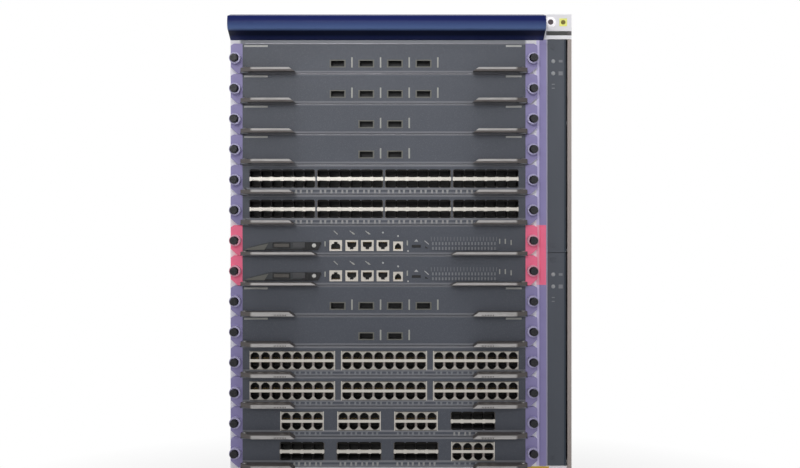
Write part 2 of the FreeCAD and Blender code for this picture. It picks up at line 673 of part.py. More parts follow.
# ---------------------------------------------------------------- power supplies
def supply_width():
    return (LIP_EDGE - OPENING_LEFT - (SUPPLY_COUNT + 1) * SUPPLY_GAP) / SUPPLY_COUNT


def supply_middles():
    return row((OPENING_LEFT + LIP_EDGE) / 2, SUPPLY_COUNT, supply_width() + SUPPLY_GAP)


def power_supply(x_middle):
    """Slide-in power supply: case, pull handle, air slots in front, inlet at the back."""
    x = about(x_middle, supply_width())
    z = (WALL + SEAT, WALL + SUPPLY_BAY - SEAT)
    case = box(x, (FRONT, REAR - WALL - SEAT), z)
    width, height = INLET_SIZE
    middle = (z[0] + z[1]) / 2
    cuts = [box(about(x_middle, width), (REAR - WALL - SEAT - INLET_DEPTH, REAR), about(middle, height))]
    vent_width, vent_height = VENT_SIZE
    vent_x = (x[1] - VENT_INSET - vent_width, x[1] - VENT_INSET)
    for vent in row(middle, VENT_SLOTS, 3 * vent_height):
        cuts.append(box(vent_x, (FRONT, FRONT + VENT_DEPTH), about(vent, vent_height)))
    low, high = about(middle, HANDLE_HEIGHT)
    reach = FRONT - HANDLE_REACH
    inner = reach + HANDLE_BAR
    grip = [
        (FRONT, low), (reach, low), (reach, high), (FRONT, high), (FRONT, high - HANDLE_BAR),
        (inner, high - HANDLE_BAR), (inner, low + HANDLE_BAR), (FRONT, low + HANDLE_BAR),
    ]
    start = x[0] + HANDLE_INSET
    handle = along_x(grip, (start, start + 1.5 * HANDLE_BAR))
    return Part.makeCompound([case.cut(cuts), handle])


# ---------------------------------------------------------------- all sub-parts
def build():
    nodes = {
        "left_side_panel": left_side_panel(),
        "right_side_panel": right_side_panel(),
        "top_cover": top_cover(),
        "base_plate": base_plate(),
        "rear_cover": rear_cover(),
        "mid_shelf": mid_shelf(),
        "fan_bay_partition": fan_bay_partition(),
        "slot_labels": slot_labels(),
        "front_bezel": front_bezel(),
        "esd_jack": esd_jack(),
        "card_guides": card_guides(),
        "backplane": backplane(),
    }
    for number, (kind, (low, high)) in enumerate(zip(LAYOUT, slot_limits()), start=1):
        nodes[f"card_{number:02d}"] = card(kind, low, high)
        for side, word in ((-1, "left"), (1, "right")):
            nodes[f"lever_{number:02d}_{word}"] = lever(side, low, *lever_size(kind))
    for index, word in enumerate(TRAY_NAMES):
        nodes[f"fan_tray_{word}"] = fan_tray(index)
    for number, x in enumerate(supply_middles(), start=1):
        nodes[f"power_supply_{number}"] = power_supply(x)
    return nodes


os.makedirs("parts", exist_ok=True)
for node, shape in build().items():
    save(node, shape)
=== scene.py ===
"""Dressing of the modular chassis switch: finishes for the CAD nodes and the small pieces that ride on them.

Metres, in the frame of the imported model: X to the right, Y to the back, Z up. Small forms are drawn in
millimetres about their own origin, face towards -Y, and laid in place as meshes.
"""

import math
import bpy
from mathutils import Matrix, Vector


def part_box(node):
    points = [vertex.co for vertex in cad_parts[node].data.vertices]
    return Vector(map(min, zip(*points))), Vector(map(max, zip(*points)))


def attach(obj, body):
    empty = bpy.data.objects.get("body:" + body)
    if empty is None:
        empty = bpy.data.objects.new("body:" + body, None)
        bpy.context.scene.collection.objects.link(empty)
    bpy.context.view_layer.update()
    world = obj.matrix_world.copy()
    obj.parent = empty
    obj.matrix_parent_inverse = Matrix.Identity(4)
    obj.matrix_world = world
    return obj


bl_info = {
    "name": "Chassis switch dressing",
    "version": (1, 0, 0),
    "blender": (4, 5, 0),
    "location": "View3D > Sidebar > Chassis switch",
    "description": "Finishes, ports, knobs and small parts for a modular chassis switch",
    "category": "Object",
}

import bmesh
import bpy
from mathutils import Matrix, Vector

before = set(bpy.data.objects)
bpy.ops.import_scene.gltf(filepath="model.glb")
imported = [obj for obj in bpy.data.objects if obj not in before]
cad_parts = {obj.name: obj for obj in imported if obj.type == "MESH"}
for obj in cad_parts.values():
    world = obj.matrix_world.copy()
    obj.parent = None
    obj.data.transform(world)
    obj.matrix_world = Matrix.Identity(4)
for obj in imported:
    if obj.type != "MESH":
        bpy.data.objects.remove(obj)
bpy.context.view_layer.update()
MM = 0.001

# the kind of card in each slot, from the top slot down
CARD_KINDS = (
    "optical_4", "optical_4", "optical_2", "optical_2", "sfp", "sfp", "control", "control",
    "optical_4", "optical_2", "copper", "copper", "mixed_copper", "mixed_fibre",
)
# groups of two-row ports across a card: the style and columns of each
PORT_GROUPS = {
    "sfp": [("sfp", 6)] * 4,
    "copper": [("jack", 8)] * 3,
    "mixed_copper": [("jack", 4)] * 3 + [("sfp", 4)],
    "mixed_fibre": [("sfp", 4)] * 3 + [("jack", 4)],
}
FULL_COLUMNS = 24                # columns of ports on a full card
PORT_MARGIN = 9.0                # bare face at each end of a full card
MIXED_MARGIN = 35.1              # and of a mixed card
MIXED_SHIFT = 4.4                # whose groups stand this far right of the middle
GROUP_GAP = {"sfp": 3.5, "jack": 9.0}
ROW_HEIGHT = {"sfp": 7.0, "jack": 9.2}
ROW_BAR = {"sfp": 5.6, "jack": 3.6}
# from the middle of a copper port's bar to the edge of its shield
JACK_REACH = ROW_BAR["jack"] / 2 + ROW_HEIGHT["jack"] + 0.3
# single sockets of a control card: size over all, half width and height of the mouth, and of its notch
JACK_SIZES = ((16.0, 13.8), (5.8, 7.0), (2.3, 2.4))
SMALL_SIZES = ((12.4, 12.0), (4.0, 6.2), (1.7, 1.4))
# each of them: right of the card's middle, height of its middle, 1 where the notch points up, sizes
SINGLE_JACKS = (
    (-61.4, 12.2, 1, JACK_SIZES), (-41.0, 12.2, -1, JACK_SIZES), (-21.2, 12.2, -1, JACK_SIZES),
    (-1.4, 12.2, -1, JACK_SIZES), (17.8, 11.3, 1, SMALL_SIZES),
)
OPTICAL_PITCH = 36.4
OPTICAL_SHIFT = 4.4              # optical sockets stand this far left of the card's middle
OPTICAL_HEIGHT = 12.5            # middle of the optical sockets above the card's bottom
OPTICAL_SIZE = (17.8, 7.6)
COVER_WIDTH = 101.0              # a control card's option bay cover, from the left of the face
COVER_LOW = 6.3                  # foot of the cover's parts above the card's bottom
BOARD_LAYER = (1.7, 3.7)         # underside and top of a board above its slot's floor
LEVER_ROOT = 12.8                # dark root of a lever, from the end of the card face
FLANGE_SLOT = (11.5, 17.0)       # slot in the top flange above the top card, painted dark as shade
SUPPLIES = 4
# depth of the guards and screens behind the chassis front
FAN_GUARD_DEPTH, SCREEN_DEPTH = 190.0, 215.0
FAN_SPACING = 124.0
SHELF_PLATES = ((-190.5, -142.5), (149.5, 189.0))       # left and right of each blank plate on the shelf lip
# lamps: kind, size, place and the height of what it lights, in metres
LAMPS = (
    ("key_lamp", "AREA", 1.6, (-0.9, -1.9, 2.3), 0.42),
    ("fill_lamp", "AREA", 1.8, (1.8, -2.2, 0.9), 0.42),
    ("front_lamp", "SPOT", 0.5, (-0.3, -2.4, 1.3), 0.84),
    ("back_left_lamp", "AREA", 1.8, (-2.8, 0.4, 1.9), 0.35),
    ("back_right_lamp", "AREA", 1.8, (1.6, 2.6, 1.5), 0.35),
)


# ---------------------------------------------------------------- what a user may change
def colour(name, words, value):
    """A colour that a user may pick."""
    return bpy.props.FloatVectorProperty(
        name=name, description=words, subtype="COLOR_GAMMA", size=3, min=0.0, max=1.0, default=value
    )


def length(name, words, millimetres):
    """A length that a user may change, given in millimetres."""
    return bpy.props.FloatProperty(
        name=name, description=words, unit="LENGTH", min=0.0, precision=5, default=millimetres * MM
    )


class SwitchColours(bpy.types.PropertyGroup):
    """Colours of the paints, mouldings and platings."""
    chassis: colour("Chassis paint", "Powder coat of the chassis sheets", (0.96, 0.955, 0.97))
    # the lip is the edge of the pale chassis sheet, painted darker and warmer as shade
    lip: colour("Fan bay lip", "Narrow lip at the right of the fan bay", (0.66, 0.62, 0.60))
    card: colour("Card paint", "Face of the cards", (0.305, 0.32, 0.358))
    cap: colour("End cap", "End caps of the line cards and their labels", (0.585, 0.555, 0.735))
    control_cap: colour("Control end cap", "End caps of the control cards", (0.99, 0.47, 0.61))
    # the bezel's blue, painted lighter on the belly and darker at the top as painted light
    bezel_light: colour("Bezel, lower face", "Lower half of the bezel's bulge", (0.345, 0.43, 0.62))
    bezel_dark: colour("Bezel, upper face", "Upper edge of the bezel", (0.06, 0.115, 0.36))
    # painted highlight on the levers' bevel
    lever_highlight: colour("Lever edge", "Bevelled upper edge of the levers", (0.76, 0.75, 0.745))
    # the levers' own colour, darkened as painted shade on the front and underside
    lever_dark: colour("Lever body", "Front and underside of the levers", (0.34, 0.32, 0.315))
    knob: colour("Knob", "Fluted heads of the thumbscrews", (0.13, 0.13, 0.15))
    steel: colour("Port metal", "Shields and springs of the ports", (0.74, 0.725, 0.695))
    fan_plate: colour("Fan tray paint", "Front plates of the fan trays", (0.315, 0.333, 0.366))
    mark: colour("Printed marks", "Plain printed marks and lamp lenses", (0.72, 0.72, 0.72))
    plate: colour("Yellow plate", "Blank plates on the shelf and corner", (0.90, 0.76, 0.25))


class SwitchSizes(bpy.types.PropertyGroup):
    """Sizes that the small pieces take."""
    knob_length: length("Knob length", "Head of a thumbscrew in front of the card face", 15.0)
    knob_radius: length("Knob radius", "Radius over the flutes of a thumbscrew head", 5.1)
    knob_inset: length("Knob inset", "Outer end of a card to a thumbscrew's axis", 5.3)
    knob_flutes: bpy.props.IntProperty(
        name="Knob flutes", description="Ribs round a thumbscrew head", min=6, max=40, default=20
    )
    collar_radius: length("Collar radius", "Pale collar round a thumbscrew", 7.2)
    collar_length: length("Collar length", "Collar in front of the card face", 9.5)
    cap_width: length("Cap width", "Width of a card's end cap", 15.0)
    port_rise: length("Port rise", "Middle of the two-row ports above the card's middle", 1.0)
    mark_height: length("Mark height", "Row of lamp marks above a card's bottom", 3.9)
    louvre_length: length("Louvre length", "Length of an air louvre in the rear cover", 84.0)


class StageSettings(bpy.types.PropertyGroup):
    """Camera and lamps."""
    camera_distance: length("Camera distance", "From the chassis front to the camera", 1500.0)
    camera_height: length("Camera height", "Camera above the floor", 529.0)
    lens: bpy.props.FloatProperty(
        name="Lens", description="Focal length", subtype="DISTANCE_CAMERA", min=10.0, default=52.8
    )
    shift: bpy.props.FloatProperty(
        name="Shift", description="Upward shift of the lens, in frame widths", default=-0.0554
    )
    ambient: bpy.props.FloatProperty(
        name="Ambient light", description="Strength of the even light all round", min=0.0, default=0.32
    )
    key: bpy.props.FloatProperty(
        name="Key lamp", description="Soft lamp above the front", unit="POWER", min=0.0, default=8.0
    )
    fill: bpy.props.FloatProperty(
        name="Fill lamp", description="Soft lamp at the right", unit="POWER", min=0.0, default=7.0
    )
    back: bpy.props.FloatProperty(
        name="Back lamps", description="Soft lamps behind the chassis", unit="POWER", min=0.0, default=26.0
    )
    front: bpy.props.FloatProperty(
        name="Front lamp", description="Soft spot on the upper cards", unit="POWER", min=0.0, default=104.0
    )


# ---------------------------------------------------------------- node sheets
class Value:
    """One output of a node, which adds, multiplies and compares as a number does."""

    def __init__(self, sheet, socket):
        self.sheet, self.socket = sheet, socket

    def out(self, name):
        """Another output of the same node."""
        return Value(self.sheet, self.socket.node.outputs[name])

    def _math(self, operation, first, second):
        return self.sheet.node("ShaderNodeMath", {"operation": operation}, {0: first, 1: second})

    def __add__(self, other):
        return self._math("ADD", self, other)

    def __sub__(self, other):
        return self._math("SUBTRACT", self, other)

    def __rsub__(self, other):
        return self._math("SUBTRACT", other, self)

    def __mul__(self, other):
        return self._math("MULTIPLY", self, other)

    def __truediv__(self, other):
        return self._math("DIVIDE", self, other)

    def __mod__(self, other):
        return self._math("FLOORED_MODULO", self, other)

    __radd__, __rmul__ = __add__, __mul__

    def floor(self):
        return self.sheet.node("ShaderNodeMath", {"operation": "FLOOR"}, {0: self})

    def above(self, edge, soft=0.1):
        """0 below an edge and 1 above it, with a soft step between."""
        limits = {"Value": self, "From Min": edge - soft / 2, "From Max": edge + soft / 2}
        return self.sheet.node("ShaderNodeMapRange", {"clamp": True}, limits)

    def below(self, edge, soft=0.1):
        return 1.0 - self.above(edge, soft)

    def between(self, low, high, soft=0.1):
        return self.above(low, soft) * self.below(high, soft)


class Sheet:
    """Adds nodes to one tree."""

    def __init__(self, tree):
        self.tree = tree

    def node(self, kind, settings, values, output=0):
        """Makes one node: its settings first, then the numbers or links of its sockets."""
        node = self.tree.nodes.new(kind)
        for key, value in settings.items():
            setattr(node, key, value)
        for key, value in values.items():
            if isinstance(value, Value):
                self.tree.links.new(value.socket, node.inputs[key])
            else:
                node.inputs[key].default_value = value
        return Value(self, node.outputs[output] if node.outputs else None)


def linear(rgb):
    """A screen colour as the shader's linear one, with its alpha."""
    return tuple(c / 12.92 if c <= 0.04045 else ((c + 0.055) / 1.055) ** 2.4 for c in rgb) + (1.0,)


class Finish(Sheet):
    """A material whose colour is worked out from the place of each point, in millimetres."""

    def __init__(self, name, sheen=0.3):
        self.material, self.sheen = bpy.data.materials.new(name), sheen
        self.material.use_nodes = True
        super().__init__(self.material.node_tree)
        self.tree.nodes.clear()
        self.place = self.node("ShaderNodeTexCoord", {}, {}, "Object")
        spread = self.node("ShaderNodeVectorMath", {"operation": "SCALE"}, {0: self.place, "Scale": 1000.0})
        self.x = self.node("ShaderNodeSeparateXYZ", {}, {0: spread}, "X")
        self.y, self.z = self.x.out("Y"), self.x.out("Z")

    def noise(self, size, stretch=(1.0, 1.0, 1.0), detail=2.0):
        """Soft noise whose grains are about this many millimetres, drawn out along an axis by stretch."""
        scale = tuple(1000.0 / (size * s) for s in stretch)
        place = self.node("ShaderNodeMapping", {}, {"Vector": self.place, "Scale": scale})
        return self.node("ShaderNodeTexNoise", {}, {"Vector": place, "Scale": 1.0, "Detail": detail})

    def mix(self, share, first, second):
        """Colour between two others."""
        return self.node("ShaderNodeMix", {"data_type": "RGBA"}, {0: share, 6: first, 7: second}, 2)

    def shade(self, base, share):
        """The colour darkened by a share that changes over the surface."""
        return self.mix(share, base, (0.0, 0.0, 0.0, 1.0))

    def mottled(self, base, share, size, stretch=(1.0, 1.0, 1.0), detail=4.0, edge=0.5, soft=0.5):
        """The colour with soft patches that are darker by a share."""
        return self.shade(base, self.noise(size, stretch, detail).above(edge, soft) * share)

    def painted(self, base, *coats):
        """The base with each (mask, colour) laid over it in turn."""
        for mask, paint in coats:
            base = self.mix(mask, base, paint)
        return base

    def brushed(self, base, roughness, stretch=(8.0, 1.0, 1.0)):
        """The material as a plated metal, with its scratches along one axis."""
        brush = self.noise(0.8, stretch, 3.0)
        base = self.shade(base, brush.above(0.5, 0.4) * 0.12)
        return self.done(base, brush * 0.18 + (roughness - 0.09), 0.85, brush, 0.01)

    def done(self, base, roughness, metallic=0.0, height=None, depth=0.05):
        """The material, with one surface of this look and a bump of this depth in millimetres."""
        values = {
            "Base Color": base, "Roughness": roughness, "Metallic": metallic,
            "Specular IOR Level": self.sheen,
        }
        if height is not None:
            bump = {"Height": height, "Strength": 1.0, "Distance": depth * MM}
            values["Normal"] = self.node("ShaderNodeBump", {}, bump)
        surface = self.node("ShaderNodeBsdfPrincipled", {}, values)
        self.node("ShaderNodeOutputMaterial", {}, {"Surface": surface})
        return self.material


# ---------------------------------------------------------------- places
class Card:
    """Places on one card, in millimetres, read from its node."""

    def __init__(self, number):
        sizes = bpy.context.scene.switch_sizes
        low, high = (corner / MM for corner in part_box(f"card_{number:02d}"))
        self.number, self.kind = number, CARD_KINDS[number - 1]
        self.tag, self.body = f"{number:02d}", f"card_{number:02d}_body"
        self.left, self.right, self.bottom, self.top, self.rear = low.x, high.x, low.z, high.z, high.y
        self.middle, self.height = (low.x + high.x) / 2, (low.z + high.z) / 2
        self.face = low.y + sizes.knob_length / MM
        self.face_left = low.x + sizes.cap_width / MM
        self.face_right = high.x - sizes.cap_width / MM
        full = self.face_right - self.face_left - 2 * PORT_MARGIN
        self.column_pitch = {
            style: (full - gaps * GROUP_GAP[style]) / FULL_COLUMNS
            for style, gaps in (("sfp", 3), ("jack", 2))
        }

    def port_groups(self):
        """The style, columns, column pitch and middle of each group of two-row ports."""
        groups = PORT_GROUPS[self.kind]
        style, columns = groups[0]
        spacing, middle = columns * self.column_pitch[style] + GROUP_GAP[style], self.middle
        if self.kind.startswith("mixed"):
            spacing = (self.face_right - self.face_left - 2 * MIXED_MARGIN) / len(groups)
            middle += MIXED_SHIFT
        places = [middle + (i - (len(groups) - 1) / 2) * spacing for i in range(len(groups))]
        return [(style, columns, self.column_pitch[style], x) for (style, columns), x in zip(groups, places)]


def cards(*kinds):
    """Every card from the top slot down, or only those of some kinds."""
    for number, kind in enumerate(CARD_KINDS, start=1):
        if not kinds or kind in kinds:
            yield Card(number)


def node_box(name):
    """Lowest and highest corner of a node, in millimetres."""
    return tuple(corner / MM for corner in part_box(name))


def cage():
    """Bottom of the lowest slot, the slots' pitch and the face of the chassis flanges, in millimetres."""
    first, second = node_box("card_01")[0].z, node_box("card_02")[0].z
    return node_box("mid_shelf")[1].z, first - second, node_box("left_side_panel")[0].y


# ---------------------------------------------------------------- finishes
# colours that stay as they are, in the shader's own terms
# painted shade: the bezel's shadow on the flange strip above the top card, and the inside of the flange slot
BEZEL_SHADOW_GREY, SLOT_SHADE_GREY = (0.27, 0.28, 0.31, 1.0), (0.11, 0.10, 0.105, 1.0)
# a painted highlight on the card edges, and fine specks of paint
PALE_HIGHLIGHT, PAINT_SPECK = (0.5, 0.5, 0.53, 1.0), (0.6, 0.6, 0.62, 1.0)
COVER_PAINT, COVER_BLACK = (0.047, 0.051, 0.056, 1.0), (0.012, 0.012, 0.014, 1.0)
# the brown of the port blocks, and painted shade near black inside the cards
PORT_BROWN, HOLLOW_SHADE = (0.13, 0.12, 0.11, 1.0), (0.03, 0.029, 0.028, 1.0)
PLUG_BLACK, HANDLE_BLACK = (0.02, 0.02, 0.02, 1.0), (0.015, 0.015, 0.017, 1.0)
BOARD_GREENS = (0.006, 0.06, 0.03, 1.0), (0.01, 0.1, 0.05, 1.0)
# painted shade under the bezel, and a painted reflection at its foot
BEZEL_UNDERSIDE_SHADE, BEZEL_FOOT_REFLECTION = (0.004, 0.007, 0.030, 1.0), (0.018, 0.028, 0.115, 1.0)
# painted shade at the right edge of the fan plates, and the rotors' black
FAN_EDGE_SHADE, ROTOR_BLACK = (0.02, 0.03, 0.045, 1.0), (0.03, 0.03, 0.033, 1.0)
ZINC = (0.37, 0.38, 0.39, 1.0), (0.43, 0.44, 0.45, 1.0)


def chassis_finish():
    """Pale powder coat with a fine orange-peel and faint handling marks; painted shade on the warmer lip at
    the fan bay, under the bezel and in the flange slot; a pale band by the label painted lighter as a
    highlight.
    """
    colours = bpy.context.scene.switch_colours
    f = Finish("chassis_powder_coat")
    first, (floor, _, front) = Card(1), cage()
    label, bay = node_box("slot_labels"), node_box("fan_tray_upper")
    face, under_bezel = f.y.below(front + 3.0), f.z.below(node_box("front_bezel")[0].z + 1.0)
    # the lip at the fan bay is painted darker and warmer as shade
    lip = face * f.x.above(node_box("fan_tray_lower")[1].x + 1.0) * f.z.below(bay[1].z + 0.4)
    # painted shadow of the bezel on the flange strip above the top card
    bezel_shadow = face * f.z.above(first.top + 0.2) * under_bezel
    bezel_shadow = bezel_shadow * f.x.between(first.face_left - 4.0, first.face_right + 1.0, 3.0)
    # painted shade inside the flange slot
    slot = face * f.x.above(bay[0].x - 2.0) * f.z.between(*(first.top + rise for rise in FLANGE_SLOT))
    beside = face * f.z.above(floor) * under_bezel
    # pale band of the post beside the label: its lavender and pink tints, painted lighter as a highlight
    highlight_band = beside * f.x.between(label[0].x - 4.6, label[0].x - 0.8)
    rail = beside * f.x.between(label[0].x - 0.8, label[1].x)
    shadow = beside * f.x.between(label[1].x, label[1].x + 4.0)
    control = f.z.between(node_box("card_08")[0].z, node_box("card_07")[1].z)
    base = f.painted(
        linear(colours.chassis), (lip, linear(colours.lip)), (bezel_shadow, BEZEL_SHADOW_GREY), (slot, SLOT_SHADE_GREY),
        (highlight_band, f.mix(control, linear((0.86, 0.83, 0.97)), linear((0.99, 0.70, 0.79)))),
        (rail, f.mix(control, linear(colours.cap), linear(colours.control_cap))),
        (shadow, linear((0.66, 0.65, 0.73))),
    )
    base = f.mottled(base, 0.06, 60.0, edge=0.45)
    return f.done(base, f.noise(8.0) * 0.12 + 0.42, height=f.noise(0.9), depth=0.03)


def bare_metal(f, card, height, middle, block):
    """The share of a card's raised port block that stays bright, which is not above or below its ports."""
    for style, columns, width, x in card.port_groups():
        half, reach = columns * width / 2 - 0.4, JACK_REACH
        if style == "sfp":
            half, reach = columns * width / 2 + 2.0, ROW_BAR["sfp"] / 2 - 0.8
        rows = height.between(middle - reach, middle + reach)
        block = block * (1.0 - f.x.between(x - half, x + half) * (1.0 - rows))
    return block


def card_finish(name, cap, kind):
    """A whole card: painted face with painted highlights along its edges, coloured caps, black knobs, steel
    port blocks, green board, and painted shade inside.
    """
    colours = bpy.context.scene.switch_colours
    card, (floor, pitch, front) = next(cards(kind)), cage()
    f = Finish(name)
    height, panel = (f.z - floor) % pitch, f.y.below(card.face + 1.6)
    # painted highlight along the bottom and top bevels of each card face
    edge = (height.between(0.2, 3.6, 0.5) * 0.24 + height.above(36.8, 0.8) * 0.3) * panel
    base = f.mottled(f.mix(edge, linear(colours.card), PALE_HIGHLIGHT), 0.1, 35.0, (3.0, 1.0, 1.0), soft=0.4)
    base = f.mix(f.noise(0.7, detail=1.0).above(0.62, 0.1) * 0.05, base, PAINT_SPECK)
    block = f.x.between(card.face_left + PORT_MARGIN, card.face_right - PORT_MARGIN)
    block = block * f.y.below(card.face - 0.3)
    metal = block
    if kind == "control":
        side = card.face_left + COVER_WIDTH
        cover, metal = f.x.below(side) * block, f.x.between(side, card.middle + 40.0) * block
        black = f.x.above(side - 25.0, 2.0) + height.below(8.4, 0.4)
        base = f.painted(base, (cover, COVER_PAINT), (cover * black, COVER_BLACK))
    elif kind in PORT_GROUPS:
        middle = pitch / 2 + bpy.context.scene.switch_sizes.port_rise / MM
        foot = middle - JACK_REACH
        # painted highlight on the ledge just under the port blocks and along the top edge
        ledge_highlights = height.between(foot - 2.6, foot, 0.6) * 0.3 + height.above(35.9, 0.6) * 0.2
        base = f.painted(base, (block, PORT_BROWN), (ledge_highlights * (1.0 - block) * panel, PALE_HIGHLIGHT))
        metal = bare_metal(f, card, height, middle, block)
    # the inside of the card behind its face is painted near black as shade
    hollow = f.y.above(card.face + 1.7) * height.between(BOARD_LAYER[1], 36.5)
    board = f.y.above(front + 0.2) * height.between(*BOARD_LAYER, 0.05)
    green = f.mix(f.noise(9.0, (1.0, 4.0, 1.0)).above(0.55, 0.05), *BOARD_GREENS)
    plug = f.y.above(card.rear - 9.2) * height.above(BOARD_LAYER[1])
    ends = (1.0 - f.x.between(card.face_left, card.face_right)) * f.y.below(front)
    base = f.painted(
        base, (metal, linear(colours.steel)), (hollow, HOLLOW_SHADE), (board, green), (plug, PLUG_BLACK),
        (ends, f.mottled(linear(cap), 0.08, 20.0)), (ends * f.y.below(card.face - 0.2), linear(colours.knob)),
    )
    rough = f.noise(5.0) * 0.12 + 0.40 - metal * 0.15
    return f.done(base, rough, metallic=metal * 0.75, height=f.noise(0.6), depth=0.025)


def lever_finish(name, top):
    """Moulded lever: pale painted highlight on the bevel below its top, set lower and a little dimmer on the
    lower cards, dark body and root.
    """
    colours = bpy.context.scene.switch_colours
    first, (floor, pitch, _) = Card(1), cage()
    f = Finish(name)
    height = (f.z - floor) % pitch
    root = f.x.below(first.face_left + LEVER_ROOT, 3.0) + f.x.above(first.face_right - LEVER_ROOT, 3.0)
    low_down = f.z.below(floor + 5.5 * pitch, pitch)
    # painted highlight on the bevel, lower down and a little dimmer on the lower cards
    pale = (height + low_down * 2.9).above(top - 2.7, 0.3) * (height * low_down).below(top - 1.0, 0.6)
    pale = pale * (1.0 - root) * f.y.below(node_box("lever_01_left")[0].y + 2.9) * (1.0 - low_down * 0.1)
    pale = pale * (1.0 - f.noise(3.0, (5.0, 1.0, 1.0), 3.0).above(0.58, 0.2) * 0.25)
    base = f.mix(pale, linear(colours.lever_dark), linear(colours.lever_highlight))
    return f.done(base, f.noise(4.0) * 0.15 + 0.36, height=f.noise(0.5), depth=0.02)


def bezel_finish():
    """Glossy moulded blue, painted darker at the top and lighter at the belly of the bulge as painted light,
    with painted shade near black underneath and a painted reflection at its foot.
    """
    colours = bpy.context.scene.switch_colours
    low, high = (corner.z for corner in node_box("front_bezel"))
    f = Finish("bezel_blue", 0.12)
    under = f.y.above(cage()[2] - 26.8, 0.3)
    # painted light: dark top and light belly, painted shade underneath, painted reflection at the foot
    base = f.painted(
        linear(colours.bezel_light), (f.z.above(high - 16.5, 10.0), linear(colours.bezel_dark)),
        (f.z.below(high - 23.2, 1.4) * under, BEZEL_UNDERSIDE_SHADE),
        (f.z.below(low + 4.0, 3.0) * under, BEZEL_FOOT_REFLECTION),
    )
    base = f.mottled(base, 0.10, 90.0, (4.0, 1.0, 1.0), 3.0)
    return f.done(base, f.noise(14.0) * 0.1 + 0.38, height=f.noise(1.1), depth=0.012)


def label_finish():
    """Label strip beside the slots: line card colour, with the control slots' colour in the middle strip."""
    colours = bpy.context.scene.switch_colours
    control = node_box("card_08")[0].z, node_box("card_07")[1].z
    f = Finish("slot_label")
    base = f.mix(f.z.between(*control), linear(colours.cap), linear(colours.control_cap))
    base = f.mottled(base, 0.07, 18.0, detail=3.0)
    return f.done(base, f.noise(3.0) * 0.1 + 0.5, height=f.noise(0.5), depth=0.015)


def fan_finish():
    """Dark grey paint of a fan tray, with painted shade along its plate's right edge and black moulded rotors
    behind the front plate.
    """
    f = Finish("fan_tray_paint")
    paint = linear(bpy.context.scene.switch_colours.fan_plate)
    base = f.painted(
        f.mottled(paint, 0.12, 30.0, (1.0, 1.0, 4.0), edge=0.48, soft=0.4),
        # painted shade along the plate's right edge
        (f.x.above(node_box("fan_tray_upper")[1].x - 2.2), FAN_EDGE_SHADE),
        (f.y.above(cage()[2] + 2.2), ROTOR_BLACK),
    )
    return f.done(base, f.noise(5.0) * 0.12 + 0.42, height=f.noise(0.6), depth=0.025)


def supply_finish():
    """Dark grey power supply: painted front, zinc-plated case, black pull handle."""
    front = cage()[2]
    f = Finish("supply_paint")
    case = f.y.above(front + 1.0)
    base = f.painted(
        f.mottled(linear(bpy.context.scene.switch_colours.card), 0.12, 30.0, soft=0.4),
        (case, f.mix(f.noise(9.0).above(0.5, 0.4), *ZINC)), (f.y.below(front - 0.2), HANDLE_BLACK),
    )
    return f.done(base, f.noise(5.0) * 0.12 + 0.38, metallic=case * 0.7, height=f.noise(1.6), depth=0.008)


def strap_jack_finish():
    """Pale plated nut of the wrist strap jack, dark round its socket."""
    low, high = node_box("esd_jack")
    f = Finish("strap_jack_plating")
    across, up = f.x - (low.x + high.x) / 2, f.z - (low.z + high.z) / 2
    socket = (across * across + up * up).below(12.5, 4.0)
    base = f.mix(socket, linear((0.93, 0.92, 0.93)), linear((0.36, 0.32, 0.34)))
    plated = socket * -0.3 + 0.4
    return f.done(base, f.noise(1.2) * 0.15 + 0.32, metallic=plated, height=f.noise(0.8), depth=0.01)


def plastic(name, rgb, roughness=0.45, grain=0.6, depth=0.02):
    """A plain moulded plastic with a fine grain and faint colour change."""
    f = Finish(name)
    base = f.mottled(linear(rgb), 0.08, 12.0, detail=3.0)
    return f.done(base, f.noise(4.0) * 0.12 + (roughness - 0.06), height=f.noise(grain), depth=depth)


def jack_finish():
    """Plated shield of the copper jacks, with a painted highlight along the bar between the two rows and the
    rest painted dimmer as shade.
    """
    f, (floor, pitch, _) = Finish("copper_port_shield"), cage()
    steel = bpy.context.scene.switch_colours.steel
    middle = pitch / 2 + bpy.context.scene.switch_sizes.port_rise / MM
    # the bar keeps the full steel as a painted highlight; the rest of the shield is painted dimmer as shade
    bar = ((f.z - floor) % pitch).between(middle - 1.9, middle + 1.9, 0.5)
    return f.brushed(f.mix(bar, linear([share * 0.84 for share in steel]), linear(steel)), 0.3)


def metal(name, rgb, roughness=0.3, stretch=(8.0, 1.0, 1.0)):
    """Brushed or plated metal, with its scratches along one axis."""
    return Finish(name).brushed(linear(rgb), roughness, stretch)


def circuit_finish():
    """Green solder mask with paler copper tracks."""
    f = Finish("solder_mask")
    tracks = (f.noise(14.0, (1.0, 1.0, 6.0)) * 9.0 % 1.0).between(0.4, 0.55, 0.05)
    base = f.mix(tracks, (0.005, 0.055, 0.028, 1.0), (0.012, 0.11, 0.055, 1.0))
    return f.done(base, f.noise(6.0) * 0.1 + 0.3, height=tracks, depth=0.03)


FINISHES = {}


